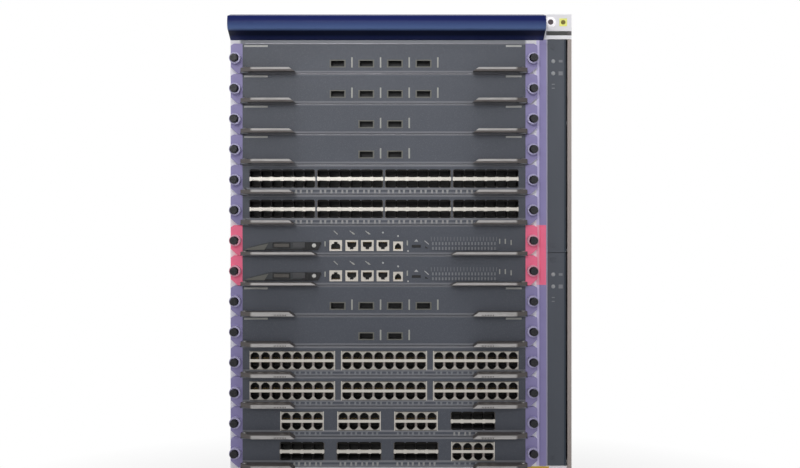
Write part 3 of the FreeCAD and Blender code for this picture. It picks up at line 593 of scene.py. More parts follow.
def make_finishes():
    """Makes every finish once, by the name that the pieces ask for."""
    c = bpy.context.scene.switch_colours
    for kind in sorted(set(CARD_KINDS)):
        cap = c.control_cap if kind == "control" else c.cap
        FINISHES[kind + "_card"] = card_finish(kind + "_card", cap, kind)
    FINISHES.update({
        "chassis": chassis_finish(),
        "lever": lever_finish("lever_moulding", 6.6),
        "long_lever": lever_finish("long_lever_moulding", 5.0),
        "lever_rib": plastic("lever_rib", c.lever_dark, 0.45),
        "bezel": bezel_finish(),
        "label": label_finish(),
        "fan_tray": fan_finish(),
        "supply": supply_finish(),
        "guide": plastic("guide_nylon", (0.16, 0.16, 0.17)),
        "circuit": circuit_finish(),
        "knob": plastic("knob_moulding", c.knob, 0.4),
        "collar": plastic("collar_moulding", (0.73, 0.71, 0.85), 0.35),
        "control_collar": plastic("control_collar_moulding", (0.95, 0.67, 0.76), 0.35),
        "steel": metal("port_steel", c.steel, 0.3),
        "jack_steel": jack_finish(),
        "dark_steel": metal("dark_steel", (0.30, 0.29, 0.28), 0.4),
        "cheek": metal("jack_cheek", (0.46, 0.43, 0.42), 0.4),
        "gasket": metal("gasket_spring", (0.50, 0.50, 0.52), 0.35),
        "cage_rim": metal("cage_rim", (0.10, 0.095, 0.09), 0.5),
        "gold": metal("contact_gold", (0.66, 0.54, 0.30), 0.28),
        "screw": metal("zinc_screw", (0.66, 0.66, 0.65), 0.32),
        "black": plastic("black_moulding", (0.09, 0.09, 0.10), 0.4),
        "mark": plastic("printed_mark", c.mark, 0.5, 0.4, 0.005),
        # painted shade on the flange slot's floor
        "recess": plastic("recess_shade", (0.26, 0.26, 0.26), 0.5),
        "port_mark": plastic("port_mark", (0.60, 0.60, 0.60), 0.5, 0.4, 0.005),
        "strip": plastic("marker_strip", (0.70, 0.70, 0.69), 0.4, 0.5, 0.005),
        "jack_shield": metal("jack_shield", (0.70, 0.68, 0.65), 0.35),
        "fan_lamp": plastic("fan_lamp", (0.62, 0.63, 0.64), 0.3, 0.6, 0.004),
        "faint_mark": plastic("faint_mark", (0.50, 0.51, 0.53), 0.5, 0.4, 0.005),
        "plate": plastic("yellow_plate", c.plate, 0.5, 0.5, 0.01),
        "heat_sink": metal("heat_sink_aluminium", (0.62, 0.63, 0.65), 0.42, (1.0, 10.0, 1.0)),
        "fin_black": metal("black_anodised", (0.16, 0.16, 0.17), 0.45, (1.0, 10.0, 1.0)),
        "green_lamp": plastic("green_lens", (0.45, 0.62, 0.45), 0.25, 0.6, 0.004),
        "jack_nut": strap_jack_finish(),
        "cover_grey": plastic("cover_grey", (0.30, 0.30, 0.31)),
        "trim": plastic("socket_trim", (0.42, 0.42, 0.40), 0.5),
        "corner_plate": plastic("corner_plate", (1.0, 1.0, 0.56), 0.5, 0.5, 0.01),
        "corner_dot": plastic("corner_dot", (0.50, 0.46, 0.20), 0.5, 0.5, 0.01),
        "window": plastic("lamp_window", (0.66, 0.66, 0.64), 0.3, 0.5, 0.005),
    })


# ---------------------------------------------------------------- forms
def circle(radius, sides):
    """Corners of a regular outline round the origin."""
    angles = [2 * math.pi * i / sides for i in range(sides)]
    return [(radius * math.cos(a), radius * math.sin(a)) for a in angles]


def rectangle(left, right, low, high):
    """Corners of an upright rectangle."""
    return [(left, low), (right, low), (right, high), (left, high)]


def cross(arm, half):
    """Corners of an upright cross with arms of a length and of half a width."""
    return [
        (arm, -half), (arm, half), (half, half), (half, arm), (-half, arm), (-half, half),
        (-arm, half), (-arm, -half), (-half, -half), (-half, -arm), (half, -arm), (half, -half),
    ]


def span(first, second):
    """Two limits, the lower one first."""
    return min(first, second), max(first, second)


class Form:
    """Solid forms drawn in millimetres and gathered in one mesh."""

    def __init__(self):
        self.bm = bmesh.new()

    def block(self, x, y, z, chamfer=0.0):
        """A block between pairs of limits, with its edges chamfered."""
        size = Vector((x[1] - x[0], y[1] - y[0], z[1] - z[0]))
        centre = Vector((x[1] + x[0], y[1] + y[0], z[1] + z[0])) / 2
        matrix = Matrix.Translation(centre) @ Matrix.Diagonal(size).to_4x4()
        made = bmesh.ops.create_cube(self.bm, size=1.0, matrix=matrix)["verts"]
        if chamfer:
            edges = list({edge for vert in made for edge in vert.link_edges})
            bmesh.ops.bevel(self.bm, geom=edges, offset=chamfer, segments=1, affect="EDGES")
        return self

    def outline(self, points, y, hole=()):
        """An (x, z) outline, with or without a hole, pushed from one y to another."""
        edges = []
        for loop in (points, hole):
            verts = [self.bm.verts.new((x, y[0], z)) for x, z in loop]
            edges += [self.bm.edges.new(pair) for pair in zip(verts, verts[1:] + verts[:1])] if verts else []
        faces = bmesh.ops.triangle_fill(self.bm, edges=edges, use_beauty=True)["geom"]
        faces = [item for item in faces if isinstance(item, bmesh.types.BMFace)]
        pushed = bmesh.ops.extrude_face_region(self.bm, geom=faces)["geom"]
        verts = [item for item in pushed if isinstance(item, bmesh.types.BMVert)]
        bmesh.ops.translate(self.bm, verts=verts, vec=(0.0, y[1] - y[0], 0.0))
        return self

    def turned(self, profile, sides=24, ring=False):
        """A (radius, y) profile turned round the Y axis; a ring's profile joins its own start."""
        rings = []
        for radius, y in profile:
            if radius == 0.0:
                rings.append([self.bm.verts.new((0.0, y, 0.0))] * sides)
            else:
                rings.append([self.bm.verts.new((x, y, z)) for x, z in circle(radius, sides)])
        pairs = list(zip(rings, rings[1:])) + ([(rings[-1], rings[0])] if ring else [])
        for first, second in pairs:
            for i in range(sides):
                j = (i + 1) % sides
                corners = []
                for vert in (first[i], first[j], second[j], second[i]):
                    if vert not in corners:
                        corners.append(vert)
                if len(corners) > 2:
                    self.bm.faces.new(corners)
        return self

    def mesh(self, finish, smooth=False):
        """The finished mesh, in metres."""
        bmesh.ops.recalc_face_normals(self.bm, faces=self.bm.faces)
        bmesh.ops.scale(self.bm, vec=(MM, MM, MM), verts=self.bm.verts)
        mesh = bpy.data.meshes.new("form")
        self.bm.to_mesh(mesh)
        self.bm.free()
        mesh.materials.append(FINISHES[finish])
        if smooth:
            mesh.shade_smooth()
            mesh.set_sharp_from_angle(angle=math.radians(32))
        return mesh


def slab(x, y, z, finish, chamfer=0.0):
    """A block between pairs of limits."""
    return Form().block(x, y, z, chamfer).mesh(finish)


def tablet(wide, tall, proud, finish, chamfer=0.08, sunk=0.03):
    """A thin block on a face, about the origin: how far it stands proud of the face, and how deep in it."""
    return slab((-wide / 2, wide / 2), (-proud, sunk), (-tall / 2, tall / 2), finish, chamfer)


def cut_sheet(points, y, finish, hole=()):
    """An (x, z) outline, with or without a hole, as thick as a pair of limits."""
    return Form().outline(points, y, hole).mesh(finish)


def lathe(profile, sides, finish):
    """A smooth form turned from a (radius, y) profile."""
    return Form().turned(profile, sides).mesh(finish, True)


def quarter(turns, axis):
    """A rotation by quarter turns."""
    return Matrix.Rotation(turns * math.pi / 2, 4, axis)


def laid(mesh, x=0.0, y=0.0, z=0.0, turn=None):
    """A copy of a mesh, turned and then moved to a place in millimetres."""
    copy = mesh.copy()
    copy.transform(Matrix.Translation(Vector((x, y, z)) * MM) @ (turn or Matrix.Identity(4)))
    return copy


def piece(name, body, meshes):
    """Joins meshes into one object that rides on a body."""
    whole, materials = bmesh.new(), []
    for mesh in meshes:
        start = len(whole.faces)
        whole.from_mesh(mesh)
        whole.faces.ensure_lookup_table()
        for material in mesh.materials:
            if material not in materials:
                materials.append(material)
        places = [materials.index(material) for material in mesh.materials]
        for face in whole.faces[start:]:
            face.material_index = places[min(face.material_index, len(places) - 1)]
    joined = bpy.data.meshes.new(name)
    whole.to_mesh(joined)
    whole.free()
    for material in materials:
        joined.materials.append(material)
    made = bpy.data.objects.new(name, joined)
    bpy.context.scene.collection.objects.link(made)
    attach(made, body)
    return made


# ---------------------------------------------------------------- patterns of repeated forms
class Pattern(Sheet):
    """A geometry node tree that sets copies of one form on points, with named inputs for its sizes."""

    def __init__(self, name, inputs):
        tree = bpy.data.node_groups.new(name, "GeometryNodeTree")
        for label, kind in [("Form", "NodeSocketObject"), ("Finish", "NodeSocketMaterial")] + inputs:
            tree.interface.new_socket(label, in_out="INPUT", socket_type=kind)
        tree.interface.new_socket("Geometry", in_out="OUTPUT", socket_type="NodeSocketGeometry")
        super().__init__(tree)
        self.given = self.node("NodeGroupInput", {}, {}, "Form")

    def value(self, label):
        """One of the named inputs."""
        return self.given.out(label)

    def vector(self, x=0.0, y=0.0, z=0.0):
        """A place, turn or size made of three numbers."""
        return self.node("ShaderNodeCombineXYZ", {}, {0: x, 1: y, 2: z})

    def end(self, count, place, turn=None, size=None, kept=None):
        """Sets the forms on the points, makes them real and gives them their finish."""
        points = self.node("GeometryNodePoints", {}, {"Count": count, "Position": place})
        if kept is not None:
            points = self.node("GeometryNodeDeleteGeometry", {}, {0: points, "Selection": kept})
        form = self.node("GeometryNodeObjectInfo", {}, {0: self.given}, "Geometry")
        values = {"Points": points, "Instance": form}
        if turn is not None:
            values["Rotation"] = self.node("FunctionNodeEulerToRotation", {}, {0: turn})
        if size is not None:
            values["Scale"] = size
        copies = self.node("GeometryNodeInstanceOnPoints", {}, values)
        real = self.node("GeometryNodeRealizeInstances", {}, {0: copies})
        values = {"Geometry": real, "Material": self.value("Finish")}
        finished = self.node("GeometryNodeSetMaterial", {}, values)
        self.node("NodeGroupOutput", {}, {0: finished})
        return self.tree


def grid_place(pattern):
    """Place of each copy across and along a grid about its middle."""
    index = pattern.node("GeometryNodeInputIndex", {}, {})
    columns, rows = pattern.value("Columns"), pattern.value("Rows")
    row = (index / columns).floor()
    column = index - row * columns
    x = (column - (columns - 1.0) * 0.5) * pattern.value("Column pitch")
    z = (row - (rows - 1.0) * 0.5) * pattern.value("Row pitch")
    return x, z


GRID_INPUTS = [
    ("Columns", "NodeSocketInt"), ("Rows", "NodeSocketInt"),
    ("Column pitch", "NodeSocketFloat"), ("Row pitch", "NodeSocketFloat"),
]


def rows_and_columns():
    """Copies on an upright grid."""
    p = Pattern("rows_and_columns", GRID_INPUTS)
    x, z = grid_place(p)
    return p.end(p.value("Columns") * p.value("Rows"), p.vector(x, 0.0, z))


def round_a_centre():
    """Copies round the Y axis at a radius, each turned to face outwards."""
    p = Pattern("round_a_centre", [("Count", "NodeSocketInt"), ("Radius", "NodeSocketFloat")])
    angle = p.node("GeometryNodeInputIndex", {}, {}) / p.value("Count") * (2 * math.pi)
    cosine = p.node("ShaderNodeMath", {"operation": "COSINE"}, {0: angle})
    sine = p.node("ShaderNodeMath", {"operation": "SINE"}, {0: angle})
    place = p.vector(cosine * p.value("Radius"), 0.0, sine * p.value("Radius"))
    return p.end(p.value("Count"), place, p.vector(0.0, angle * -1.0, 0.0))


def strewn_on_a_board():
    """Copies on a flat grid, shaken off it, of mixed sizes, and with some left out."""
    extra = [("Shake", "NodeSocketFloat"), ("Kept", "NodeSocketFloat"), ("Seed", "NodeSocketInt")]
    p = Pattern("strewn_on_a_board", GRID_INPUTS + extra)
    x, y = grid_place(p)
    index = p.node("GeometryNodeInputIndex", {}, {})

    def chance(offset, low, high):
        values = {"ID": index, "Seed": p.value("Seed") + offset, 2: low, 3: high}
        return p.node("FunctionNodeRandomValue", {"data_type": "FLOAT"}, values, 1)

    shake = p.value("Shake")
    place = p.vector(x + chance(1.0, -1.0, 1.0) * shake, y + chance(2.0, -1.0, 1.0) * shake, 0.0)
    size = chance(3.0, 0.7, 1.15)
    gone = chance(4.0, 0.0, 1.0) - p.value("Kept")
    turn = p.vector(0.0, 0.0, (chance(5.0, 0.0, 3.99)).floor() * (math.pi / 2))
    return p.end(p.value("Columns") * p.value("Rows"), place, turn, p.vector(size, size, 1.0),
                 gone.above(0.0, 0.0001))


PATTERNS = {}


def repeated(pattern, form, **inputs):
    """The plain mesh that a pattern makes of a form; inputs are named as the tree names them."""
    if pattern not in PATTERNS:
        PATTERNS[pattern] = pattern()
    tree, scene = PATTERNS[pattern], bpy.context.scene
    unit = bpy.data.objects.new("unit", form)
    host = bpy.data.objects.new("host", bpy.data.meshes.new("host"))
    for thing in (unit, host):
        scene.collection.objects.link(thing)
    modifier = host.modifiers.new("pattern", "NODES")
    modifier.node_group = tree
    given = {"Form": unit, "Finish": form.materials[0]}
    given.update({key.replace("_", " ").capitalize(): value for key, value in inputs.items()})
    for item in tree.interface.items_tree:
        if item.in_out == "INPUT" and item.name in given:
            modifier[item.identifier] = given[item.name]
    ready = host.evaluated_get(bpy.context.evaluated_depsgraph_get())
    mesh = bpy.data.meshes.new_from_object(ready)
    host.modifiers.remove(modifier)
    for thing in (unit, host):
        bpy.data.objects.remove(thing)
    if form.polygons and form.polygons[0].use_smooth:
        mesh.set_sharp_from_angle(angle=math.radians(32))
    return mesh


def in_grid(form, columns, rows, column_pitch, row_pitch=0.0):
    """Copies of a form on an upright grid whose pitches are in millimetres."""
    pitches = dict(column_pitch=column_pitch * MM, row_pitch=row_pitch * MM)
    return repeated(rows_and_columns, form, columns=columns, rows=rows, **pitches)


# ---------------------------------------------------------------- thumbscrews
def knob_meshes():
    """A fluted thumbscrew head with a cross slot in its end, about the origin, face of the card at y = 0."""
    sizes = bpy.context.scene.switch_sizes
    long, radius = sizes.knob_length / MM, sizes.knob_radius / MM
    root, foot = radius - 0.6, -2.4
    end = root - 0.4
    face = -long - 0.05
    core = Form().turned([(0, face), (end, face), (root, -long + 0.4), (root, foot), (0, foot)])
    core.outline(circle(end, 24), (-long - 1.0, -long - 0.04), cross(3.0, 0.7))
    rib = slab((-0.9, 0.6), (-long + 0.5, foot - 0.4), (-0.42, 0.42), "knob", 0.18)
    ribs = repeated(round_a_centre, rib, count=sizes.knob_flutes, radius=root * MM)
    return [core.mesh("knob", True), ribs]


def collar_mesh(finish):
    """The pale collar round a thumbscrew, with its outer edge broken."""
    sizes, inner, broken = bpy.context.scene.switch_sizes, 5.2, 0.4
    radius, long = sizes.collar_radius / MM, sizes.collar_length / MM
    profile = [(inner, 0.0), (radius, 0.0), (radius, broken - long), (radius - broken, -long), (inner, -long)]
    return Form().turned(profile, 32, ring=True).mesh(finish, True)


def make_thumbscrews():
    """A fluted head and a collar at both ends of every card."""
    inset, collar_shift = bpy.context.scene.switch_sizes.knob_inset / MM, 0.9
    knob = [(form, inset) for form in knob_meshes()]
    line_collar, control_collar = collar_mesh("collar"), collar_mesh("control_collar")
    for card in cards():
        collar = control_collar if card.kind == "control" else line_collar
        meshes = []
        for form, inward in knob + [(collar, inset + collar_shift)]:
            pair = in_grid(form, 2, 1, card.right - card.left - 2 * inward)
            meshes.append(laid(pair, card.middle, card.face, card.height))
        piece("thumbscrews_" + card.tag, card.body, meshes)


def make_gaskets():
    """Row of spring fingers on the top fold of every card, which closes the seam to the card above."""
    pitch, bare_ends = 6.0, 2.0
    for card in cards():
        gap = cage()[1] - (card.top - card.bottom)
        finger = slab((-2.85, 2.85), (0.35, 6.0), (-0.05, gap * 0.65), "gasket")
        row = in_grid(finger, int((card.face_right - card.face_left - bare_ends) / pitch), 1, pitch)
        fingers = laid(row, (card.face_left + card.face_right) / 2, card.face, card.top)
        piece("gasket_" + card.tag, card.body, [fingers])


# ---------------------------------------------------------------- levers
def make_lever_details():
    """A domed pin head above each lever's root, and finger ribs near its tip."""
    to_pin, to_ribs = 5.0, 18.0
    head = lathe([(0, -1.5), (1.6, -1.3), (2.7, -0.7), (3.1, 0.0), (0, 0.0)], 20, "screw")
    head.transform(quarter(-1, "X"))
    for card in cards():
        heads = []
        for word in ("left", "right"):
            name = f"lever_{card.tag}_{word}"
            low, high = node_box(name)
            root, tip = low.x + to_pin, high.x - to_ribs
            if word == "right":
                root, tip = high.x - to_pin, low.x + to_ribs
            heads.append(laid(head, root, high.y - to_pin, high.z + 0.05))
            rib = slab((-0.4, 0.4), (-0.3, 0.05), (0.4, high.z - low.z - 2.8), "lever_rib", 0.1)
            piece(f"{name}_ribs", f"{name}_body", [laid(in_grid(rib, 8, 1, 2.0), tip, low.y, low.z)])
        piece("lever_pin_heads_" + card.tag, card.body, heads)


# ---------------------------------------------------------------- ports
def jack_front(wide):
    """Bright shield of one upper jack with the rounded mouth. Middle of the bar at z = 0."""
    low, half = ROW_BAR["jack"] / 2, wide / 2
    high = low + ROW_HEIGHT["jack"]
    wall = half - 0.2
    mouth = [(wall, low), (wall, low + 4.0), (wall - 1.0, low + 5.4), (3.6, high - 1.7), (1.7, high - 0.2)]
    mouth += [(-x, z) for x, z in reversed(mouth)]
    return cut_sheet(rectangle(-half, half, 0.0, high + 0.1), (-1.1, -0.55), "jack_steel", mouth)


def jack_cheeks(wide):
    """Shaded side walls in the mouth of one upper jack."""
    low, half = ROW_BAR["jack"] / 2, wide / 2
    cheeks = Form()
    for side in (-1, 1):
        cheeks.block(span(side * (half - 0.1), side * (half - 1.5)), (-0.5, 0.6), (low - 0.2, low + 5.6))
    return cheeks.mesh("cheek")


def contact_wires(pitch, y, z):
    """The eight gold wires of one jack side by side, between pairs of limits."""
    wires = Form()
    for i in range(8):
        x = (i - 3.5) * pitch
        wires.block((x - 0.2, x + 0.2), y, z)
    return wires.mesh("gold")


def cage_front(wide, over):
    """Thin folded rim of one upper fibre port, as far over the mouth as asked. Middle of the bar at z = 0."""
    low, half, half_mouth = ROW_BAR["sfp"] / 2, wide / 2, 6.35
    high = low + ROW_HEIGHT["sfp"]
    rim, side = high + over, high + over - 1.2
    fold, foot = half - 1.8, low - 0.3
    outer = [(-half, foot), (half, foot), (half, side), (fold, rim), (-fold, rim), (-half, side)]
    mouth = rectangle(-half_mouth, half_mouth, low + 0.1, high)
    return cut_sheet(outer, (-0.95, -0.55), "cage_rim", mouth)


def cage_springs(wide):
    """Bright bar between the rows of fibre ports, with a bulged spring at each upright wall."""
    half, low = wide / 2, ROW_BAR["sfp"] / 2 - 1.6
    high = low + 1.4
    bar = [
        (-half, 0.0), (half, 0.0), (half, high), (half - 1.6, high), (half - 3.4, low),
        (3.4 - half, low), (1.6 - half, high), (-half, high),
    ]
    return cut_sheet(bar, (-1.35, -0.9), "steel")


def lamp_marks(half, finish):
    """A pair of small plain wedges under one column of ports, of half a height."""
    marks = Form()
    marks.outline([(-4.4, -half), (-1.4, -half), (-1.9, half), (-3.9, half)], (-0.12, 0.05))
    marks.outline([(4.4, half), (1.4, half), (1.9, -half), (3.9, -half)], (-0.12, 0.05))
    return marks.mesh(finish)


def make_two_row_ports():
    """Shields, springs, contacts and marks of every two-row group; the lower row stands on its head."""
    sizes, pitches = bpy.context.scene.switch_sizes, Card(1).column_pitch
    low = ROW_BAR["jack"] / 2
    wires = contact_wires(1.02, (3.5, 9.5), (low + 0.5, low + 0.9))
    jack = (jack_front(pitches["jack"]), jack_cheeks(pitches["jack"]), wires)
    springs = cage_springs(pitches["sfp"])
    rows = {"jack": (jack, jack), "sfp": [(cage_front(pitches["sfp"], over), springs) for over in (2.2, 1.2)]}
    marks = {"jack": lamp_marks(1.9, "faint_mark"), "sfp": lamp_marks(2.3, "port_mark")}
    turns = (None, quarter(2, "Y"))
    for card in cards(*PORT_GROUPS):
        meshes = []
        for style, columns, pitch, x in card.port_groups():
            for row, turn in zip(rows[style], turns):
                for form in row:
                    line = in_grid(form, columns, 1, pitch)
                    meshes.append(laid(line, x, card.face, card.height + sizes.port_rise / MM, turn))
            line = in_grid(marks[style], columns, 1, pitch)
            meshes.append(laid(line, x, card.face, card.bottom + sizes.mark_height / MM))
        piece("port_fronts_" + card.tag, card.body, meshes)


def make_optical_sockets():
    """Raised trim round each optical socket, a dark lining inside, and a tall lamp window at its right."""
    half, tall = OPTICAL_SIZE[0] / 2, OPTICAL_SIZE[1] / 2
    depth = 16.6
    outer = rectangle(-half - 1.3, half + 1.3, -tall - 1.2, tall + 1.2)
    mouth = rectangle(-half + 0.5, half - 0.5, -tall + 0.2, tall - 0.2)
    rim = cut_sheet(outer, (-0.5, 0.02), "trim", mouth)
    lining = Form().block((-half + 0.05, half - 0.05), (depth, depth + 1.3), (-tall + 0.05, tall - 0.05))
    for side in (-1, 1):
        lining.block(span(side * (half - 0.4), side * (half - 0.05)), (0.6, depth), (-tall + 0.1, tall - 0.1))
    lining = lining.mesh("black")
    window = tablet(2.0, 13.2, 0.5, "window", 0.25, 0.02)
    for card in cards("optical_4", "optical_2"):
        x, z = card.middle - OPTICAL_SHIFT, card.bottom + OPTICAL_HEIGHT
        meshes = []
        for form, right, up in ((rim, 0.0, 0.0), (lining, 0.0, 0.0), (window, OPTICAL_PITCH / 2, 1.5)):
            line = in_grid(form, int(card.kind[-1]), 1, OPTICAL_PITCH)
            meshes.append(laid(line, x + right, card.face, z + up))
        piece("optical_trims_" + card.tag, card.body, meshes)


def make_marker_strips():
    """Blank marker strips at both upper ends of the cards with optical sockets."""
    long_strip, short_strip = (tablet(wide, 2.4, 0.25, "strip", 0.1) for wide in (30.0, 20.0))
    for card in cards("optical_4", "optical_2"):
        ends = (long_strip, card.face_left + 17.0), (short_strip, card.face_right - 15.0)
        strips = [laid(strip, x, card.face, card.top - 3.1) for strip, x in ends]
        piece("marker_strips_" + card.tag, card.body, strips)


# ---------------------------------------------------------------- control cards
def single_jack(up, over_all, half_mouth, half_notch):
    """Shield and wires of one single jack about its middle; up is 1 where its notch points up, or else -1."""
    (wide, tall), (half, high), (notch, rise) = over_all, half_mouth, half_notch
    foot = -(high + rise) / 2
    head, shoulder = foot + high, foot + high - 2.2
    mouth = [
        (-half, foot), (half, foot), (half, shoulder), (half - 1.6, head), (notch, head), (notch, -foot),
        (-notch, -foot), (-notch, head), (-half + 1.6, head), (-half, shoulder),
    ]
    mouth = [(x, z * up) for x, z in mouth]
    shield = Form().outline(rectangle(-wide / 2, wide / 2, -tall / 2, tall / 2), (-1.2, -0.55), mouth)
    wires = contact_wires(half * 0.2, (1.0, 9.0), span(up * (foot + 0.4), up * (foot + 0.8)))
    return shield.mesh("jack_shield"), wires


def flat_mark(points, proud, finish):
    """A thin plain mark of an (x, z) outline, about the origin."""
    return cut_sheet(points, (-proud, 0.03), finish)


def control_forms():
    """What is set on the face of a control card, as (mesh, x from the middle, z from the bottom)."""
    parts = []
    for x, z, up, sizes in SINGLE_JACKS:
        parts += [(form, x, z) for form in single_jack(up, *sizes)]
    places = [jack[0] for jack in SINGLE_JACKS]
    tick = flat_mark([(-3.0, 2.4), (-2.1, 2.9), (2.9, -1.6), (2.0, -2.2)], 0.15, "window")
    second = flat_mark([(0.2, 0.4), (1.0, 0.9), (4.1, -2.0), (3.2, -2.5)], 0.15, "window")
    parts += [(tick, x, 28.3) for x in places[:3]] + [(second, x, 28.6) for x in places[1:3]]
    dot = lathe([(0, -0.4), (0.9, -0.35), (1.2, 0.0), (0, 0.0)], 12, "mark")
    parts += [(dot, places[3], 28.6), (dot, places[4], 24.2), (dot, 30.5, 5.2)]
    bar = tablet(1.6, 6.4, 0.3, "window", 0.15)
    bars = (-75.0, 14.3), (29.6, 15.5), (147.0, 17.5), (154.2, 17.5), (161.6, 16.0)
    parts += [(bar, x, z) for x, z in bars]
    slot = tablet(11.2, 3.4, 0.5, "black", 0.3)
    point = flat_mark([(-2.6, -1.2), (2.6, -1.2), (0.0, 1.8)], 0.25, "mark")
    wedge = flat_mark([(-2.8, 2.4), (-2.0, 3.0), (3.2, -1.6), (2.4, -2.2)], 0.25, "mark")
    notch = flat_mark([(-2.2, 1.4), (2.4, -1.6), (-1.6, -1.6)], 0.25, "black")
    parts += [(slot, 41.0, 11.3), (point, 41.0, 18.5), (wedge, 54.0, 15.6), (notch, 54.2, 10.2)]
    field, pitch = 101.5, 4.15
    lens = tablet(2.0, 3.8, 1.5, "faint_mark", 0.2, -0.95)
    rule = tablet(0.6, 5.2, 1.15, "faint_mark", 0.0, -0.95)
    lenses, rules = in_grid(lens, 20, 2, pitch, 6.2), in_grid(rule, 21, 1, pitch)
    return parts + [(lenses, field, 11.6), (rules, field, 20.6)]


def cover_forms():
    """What is set on the option bay's cover, as (mesh, x from the left of the face, z from the bottom)."""
    cover = -1.95
    rim = cut_sheet(rectangle(0, 22.5, 0, 7.4), (-3.0, cover), "black", rectangle(1.6, 20.9, 1.6, 5.8))
    pad = slab((1.6, 20.9), (-2.3, cover), (1.6, 5.8), "dark_steel")
    body = slab((62.0, 77.5), (-2.6, cover), (3.2, 10.2), "cover_grey", 0.2)
    wedge = cut_sheet([(0, 0), (25, 0), (30, 8.2), (4, 2.2)], (-2.8, cover), "trim")
    post = slab((0, 4.0), (-3.2, cover), (0.2, 9.8), "black", 0.3)
    screw = lathe([(0, -3.5), (2.2, -3.5), (2.7, -3.1), (2.7, -2.0), (0, -2.0)], 24, "screw")
    parts = [(rim, 38.5, 2.6), (pad, 38.5, 2.6), (body, 2.0, 0.0), (wedge, 3.0, 0.4), (post, 81.0, 0.0)]
    return [(form, x, COVER_LOW + z) for form, x, z in parts + [(screw, 91.0, 6.0)]]


def make_control_panels():
    """Jack shields, marks and lamps, and the screw and latch of the option bay's cover."""
    parts, cover = control_forms(), cover_forms()
    for card in cards("control"):
        meshes = [laid(form, card.middle + x, card.face, card.bottom + z) for form, x, z in parts]
        meshes += [laid(form, card.face_left + x, card.face, card.bottom + z) for form, x, z in cover]
        piece("control_panel_" + card.tag, card.body, meshes)


# ---------------------------------------------------------------- boards
def make_board_parts():
    """Heat sinks, chips and capacitors on every board, seen when a card is drawn out."""
    base = slab((-21, 21), (-21, 21), (0, 2.2), "fin_black", 0.3)
    fin = slab((-0.5, 0.5), (-20.5, 20.5), (2.0, 13.0), "fin_black")
    chip = slab((-6, 6), (-6, 6), (0, 1.6), "black", 0.25)
    can = lathe([(0, 0), (2.6, 0), (3.1, 0.4), (3.1, 6.4), (2.7, 7.0), (0, 7.0)], 12, "heat_sink")
    can.transform(quarter(1, "X"))
    fins = in_grid(fin, 11, 1, 4.0)
    sinks_depth, chips_depth, cans_depth = 180.0, 290.0, 115.0
    for card in cards():
        top = card.bottom + BOARD_LAYER[1] - 0.35
        meshes = []
        for x in (-92.0, 8.0, 104.0):
            meshes += [laid(form, card.middle + x, card.face + sinks_depth, top) for form in (base, fins)]
        strewn = dict(columns=13, rows=4, column_pitch=24.0 * MM, row_pitch=20.0 * MM, shake=2.4 * MM)
        chips = repeated(strewn_on_a_board, chip, kept=0.7, seed=card.number, **strewn)
        meshes.append(laid(chips, card.middle, card.face + chips_depth, top))
        strewn.update(columns=18, rows=3, column_pitch=16.0 * MM, row_pitch=14.0 * MM)
        cans = repeated(strewn_on_a_board, can, kept=0.4, seed=card.number + 40, **strewn)
        meshes.append(laid(cans, card.middle, card.face + cans_depth, top))
        piece("board_parts_" + card.tag, card.body, meshes)


# ---------------------------------------------------------------- chassis
def screw_head(radius=3.4, finish="screw"):
    """A low cross-head screw."""
    form = Form().turned([(0, -0.5), (radius - 0.05, -0.5), (radius, -0.3), (radius, 0.0), (0, 0.0)], 20)
    form.outline(circle(radius - 0.3, 20), (-0.9, -0.5), cross(radius * 0.55, radius * 0.14))
    return form.mesh(finish)


def make_chassis_screws():
    """Screws down the edges of the rear cover, both sides and the top."""
    head = screw_head()
    low, high = node_box("rear_cover")
    width, height = high.x - low.x, high.z - low.z
    rear = laid(in_grid(head, 2, 7, width - 14.0, (height - 30.0) / 6), turn=quarter(2, "Z"))
    meshes = [laid(rear, (low.x + high.x) / 2, high.y, height / 2)]
    column = in_grid(head, 2, 6, 420.0, (height - 60.0) / 5)
    left, right = node_box("left_side_panel"), node_box("right_side_panel")
    middle = (left[0].y + left[1].y) / 2
    for x, side in ((left[0].x, -1), (right[1].x, 1)):
        meshes.append(laid(column, x, middle, height / 2, quarter(side, "Z")))
    lid = in_grid(head, 2, 4, width - 10.0, 130.0)
    top = node_box("top_cover")[1].z
    meshes.append(laid(lid, 0.0, middle + 10.0, top, quarter(-1, "X")))
    piece("chassis_screws", "chassis", meshes)


def make_rear_louvres():
    """Rows of pressed air louvres in the rear cover."""
    half = bpy.context.scene.switch_sizes.louvre_length / MM / 2
    hood = Form().outline([(-half, 0.0), (half, 0.0), (half - 3.0, 4.6), (-half + 3.0, 4.6)], (-1.4, 0.05))
    hood = hood.block((-half + 0.8, half - 0.8), (-1.35, 0.05), (-0.9, -0.05)).mesh("chassis")
    shade = slab((-half + 2.0, half - 2.0), (-0.12, 0.02), (-2.6, -0.9), "black")
    cover, start = node_box("rear_cover")[1], node_box("mid_shelf")[1].z
    turn, meshes = quarter(2, "Z"), []
    for form in (hood, shade):
        meshes.append(laid(in_grid(form, 4, 28, 98.0, 17.6), 0.0, cover.y, (start + cover.z) / 2, turn))
    piece("rear_louvres", "chassis", meshes)


def make_air_filters():
    """Wire screens inside the side walls' air slots."""
    (floor, pitch, front), count = cage(), len(CARD_KINDS)
    wire = slab((-0.25, 0.25), (0.1, 0.5), (-4.4, 4.4), "dark_steel")
    line = slab((-144.5, 144.5), (0.15, 0.45), (-0.25, 0.25), "dark_steel")
    screens = in_grid(wire, 96, count, 3.0, pitch), in_grid(line, 1, count, 1.0, pitch)
    wall, set_back = 2.0, 1.9
    for word, side, corner in (("left", -1, 0), ("right", 1, 1)):
        x = node_box(word + "_side_panel")[corner].x - side * (wall + set_back)
        turn = quarter(side, "Z")
        meshes = [laid(form, x, front + SCREEN_DEPTH, floor + count * pitch / 2, turn) for form in screens]
        piece("air_screen_" + word, "chassis", meshes)


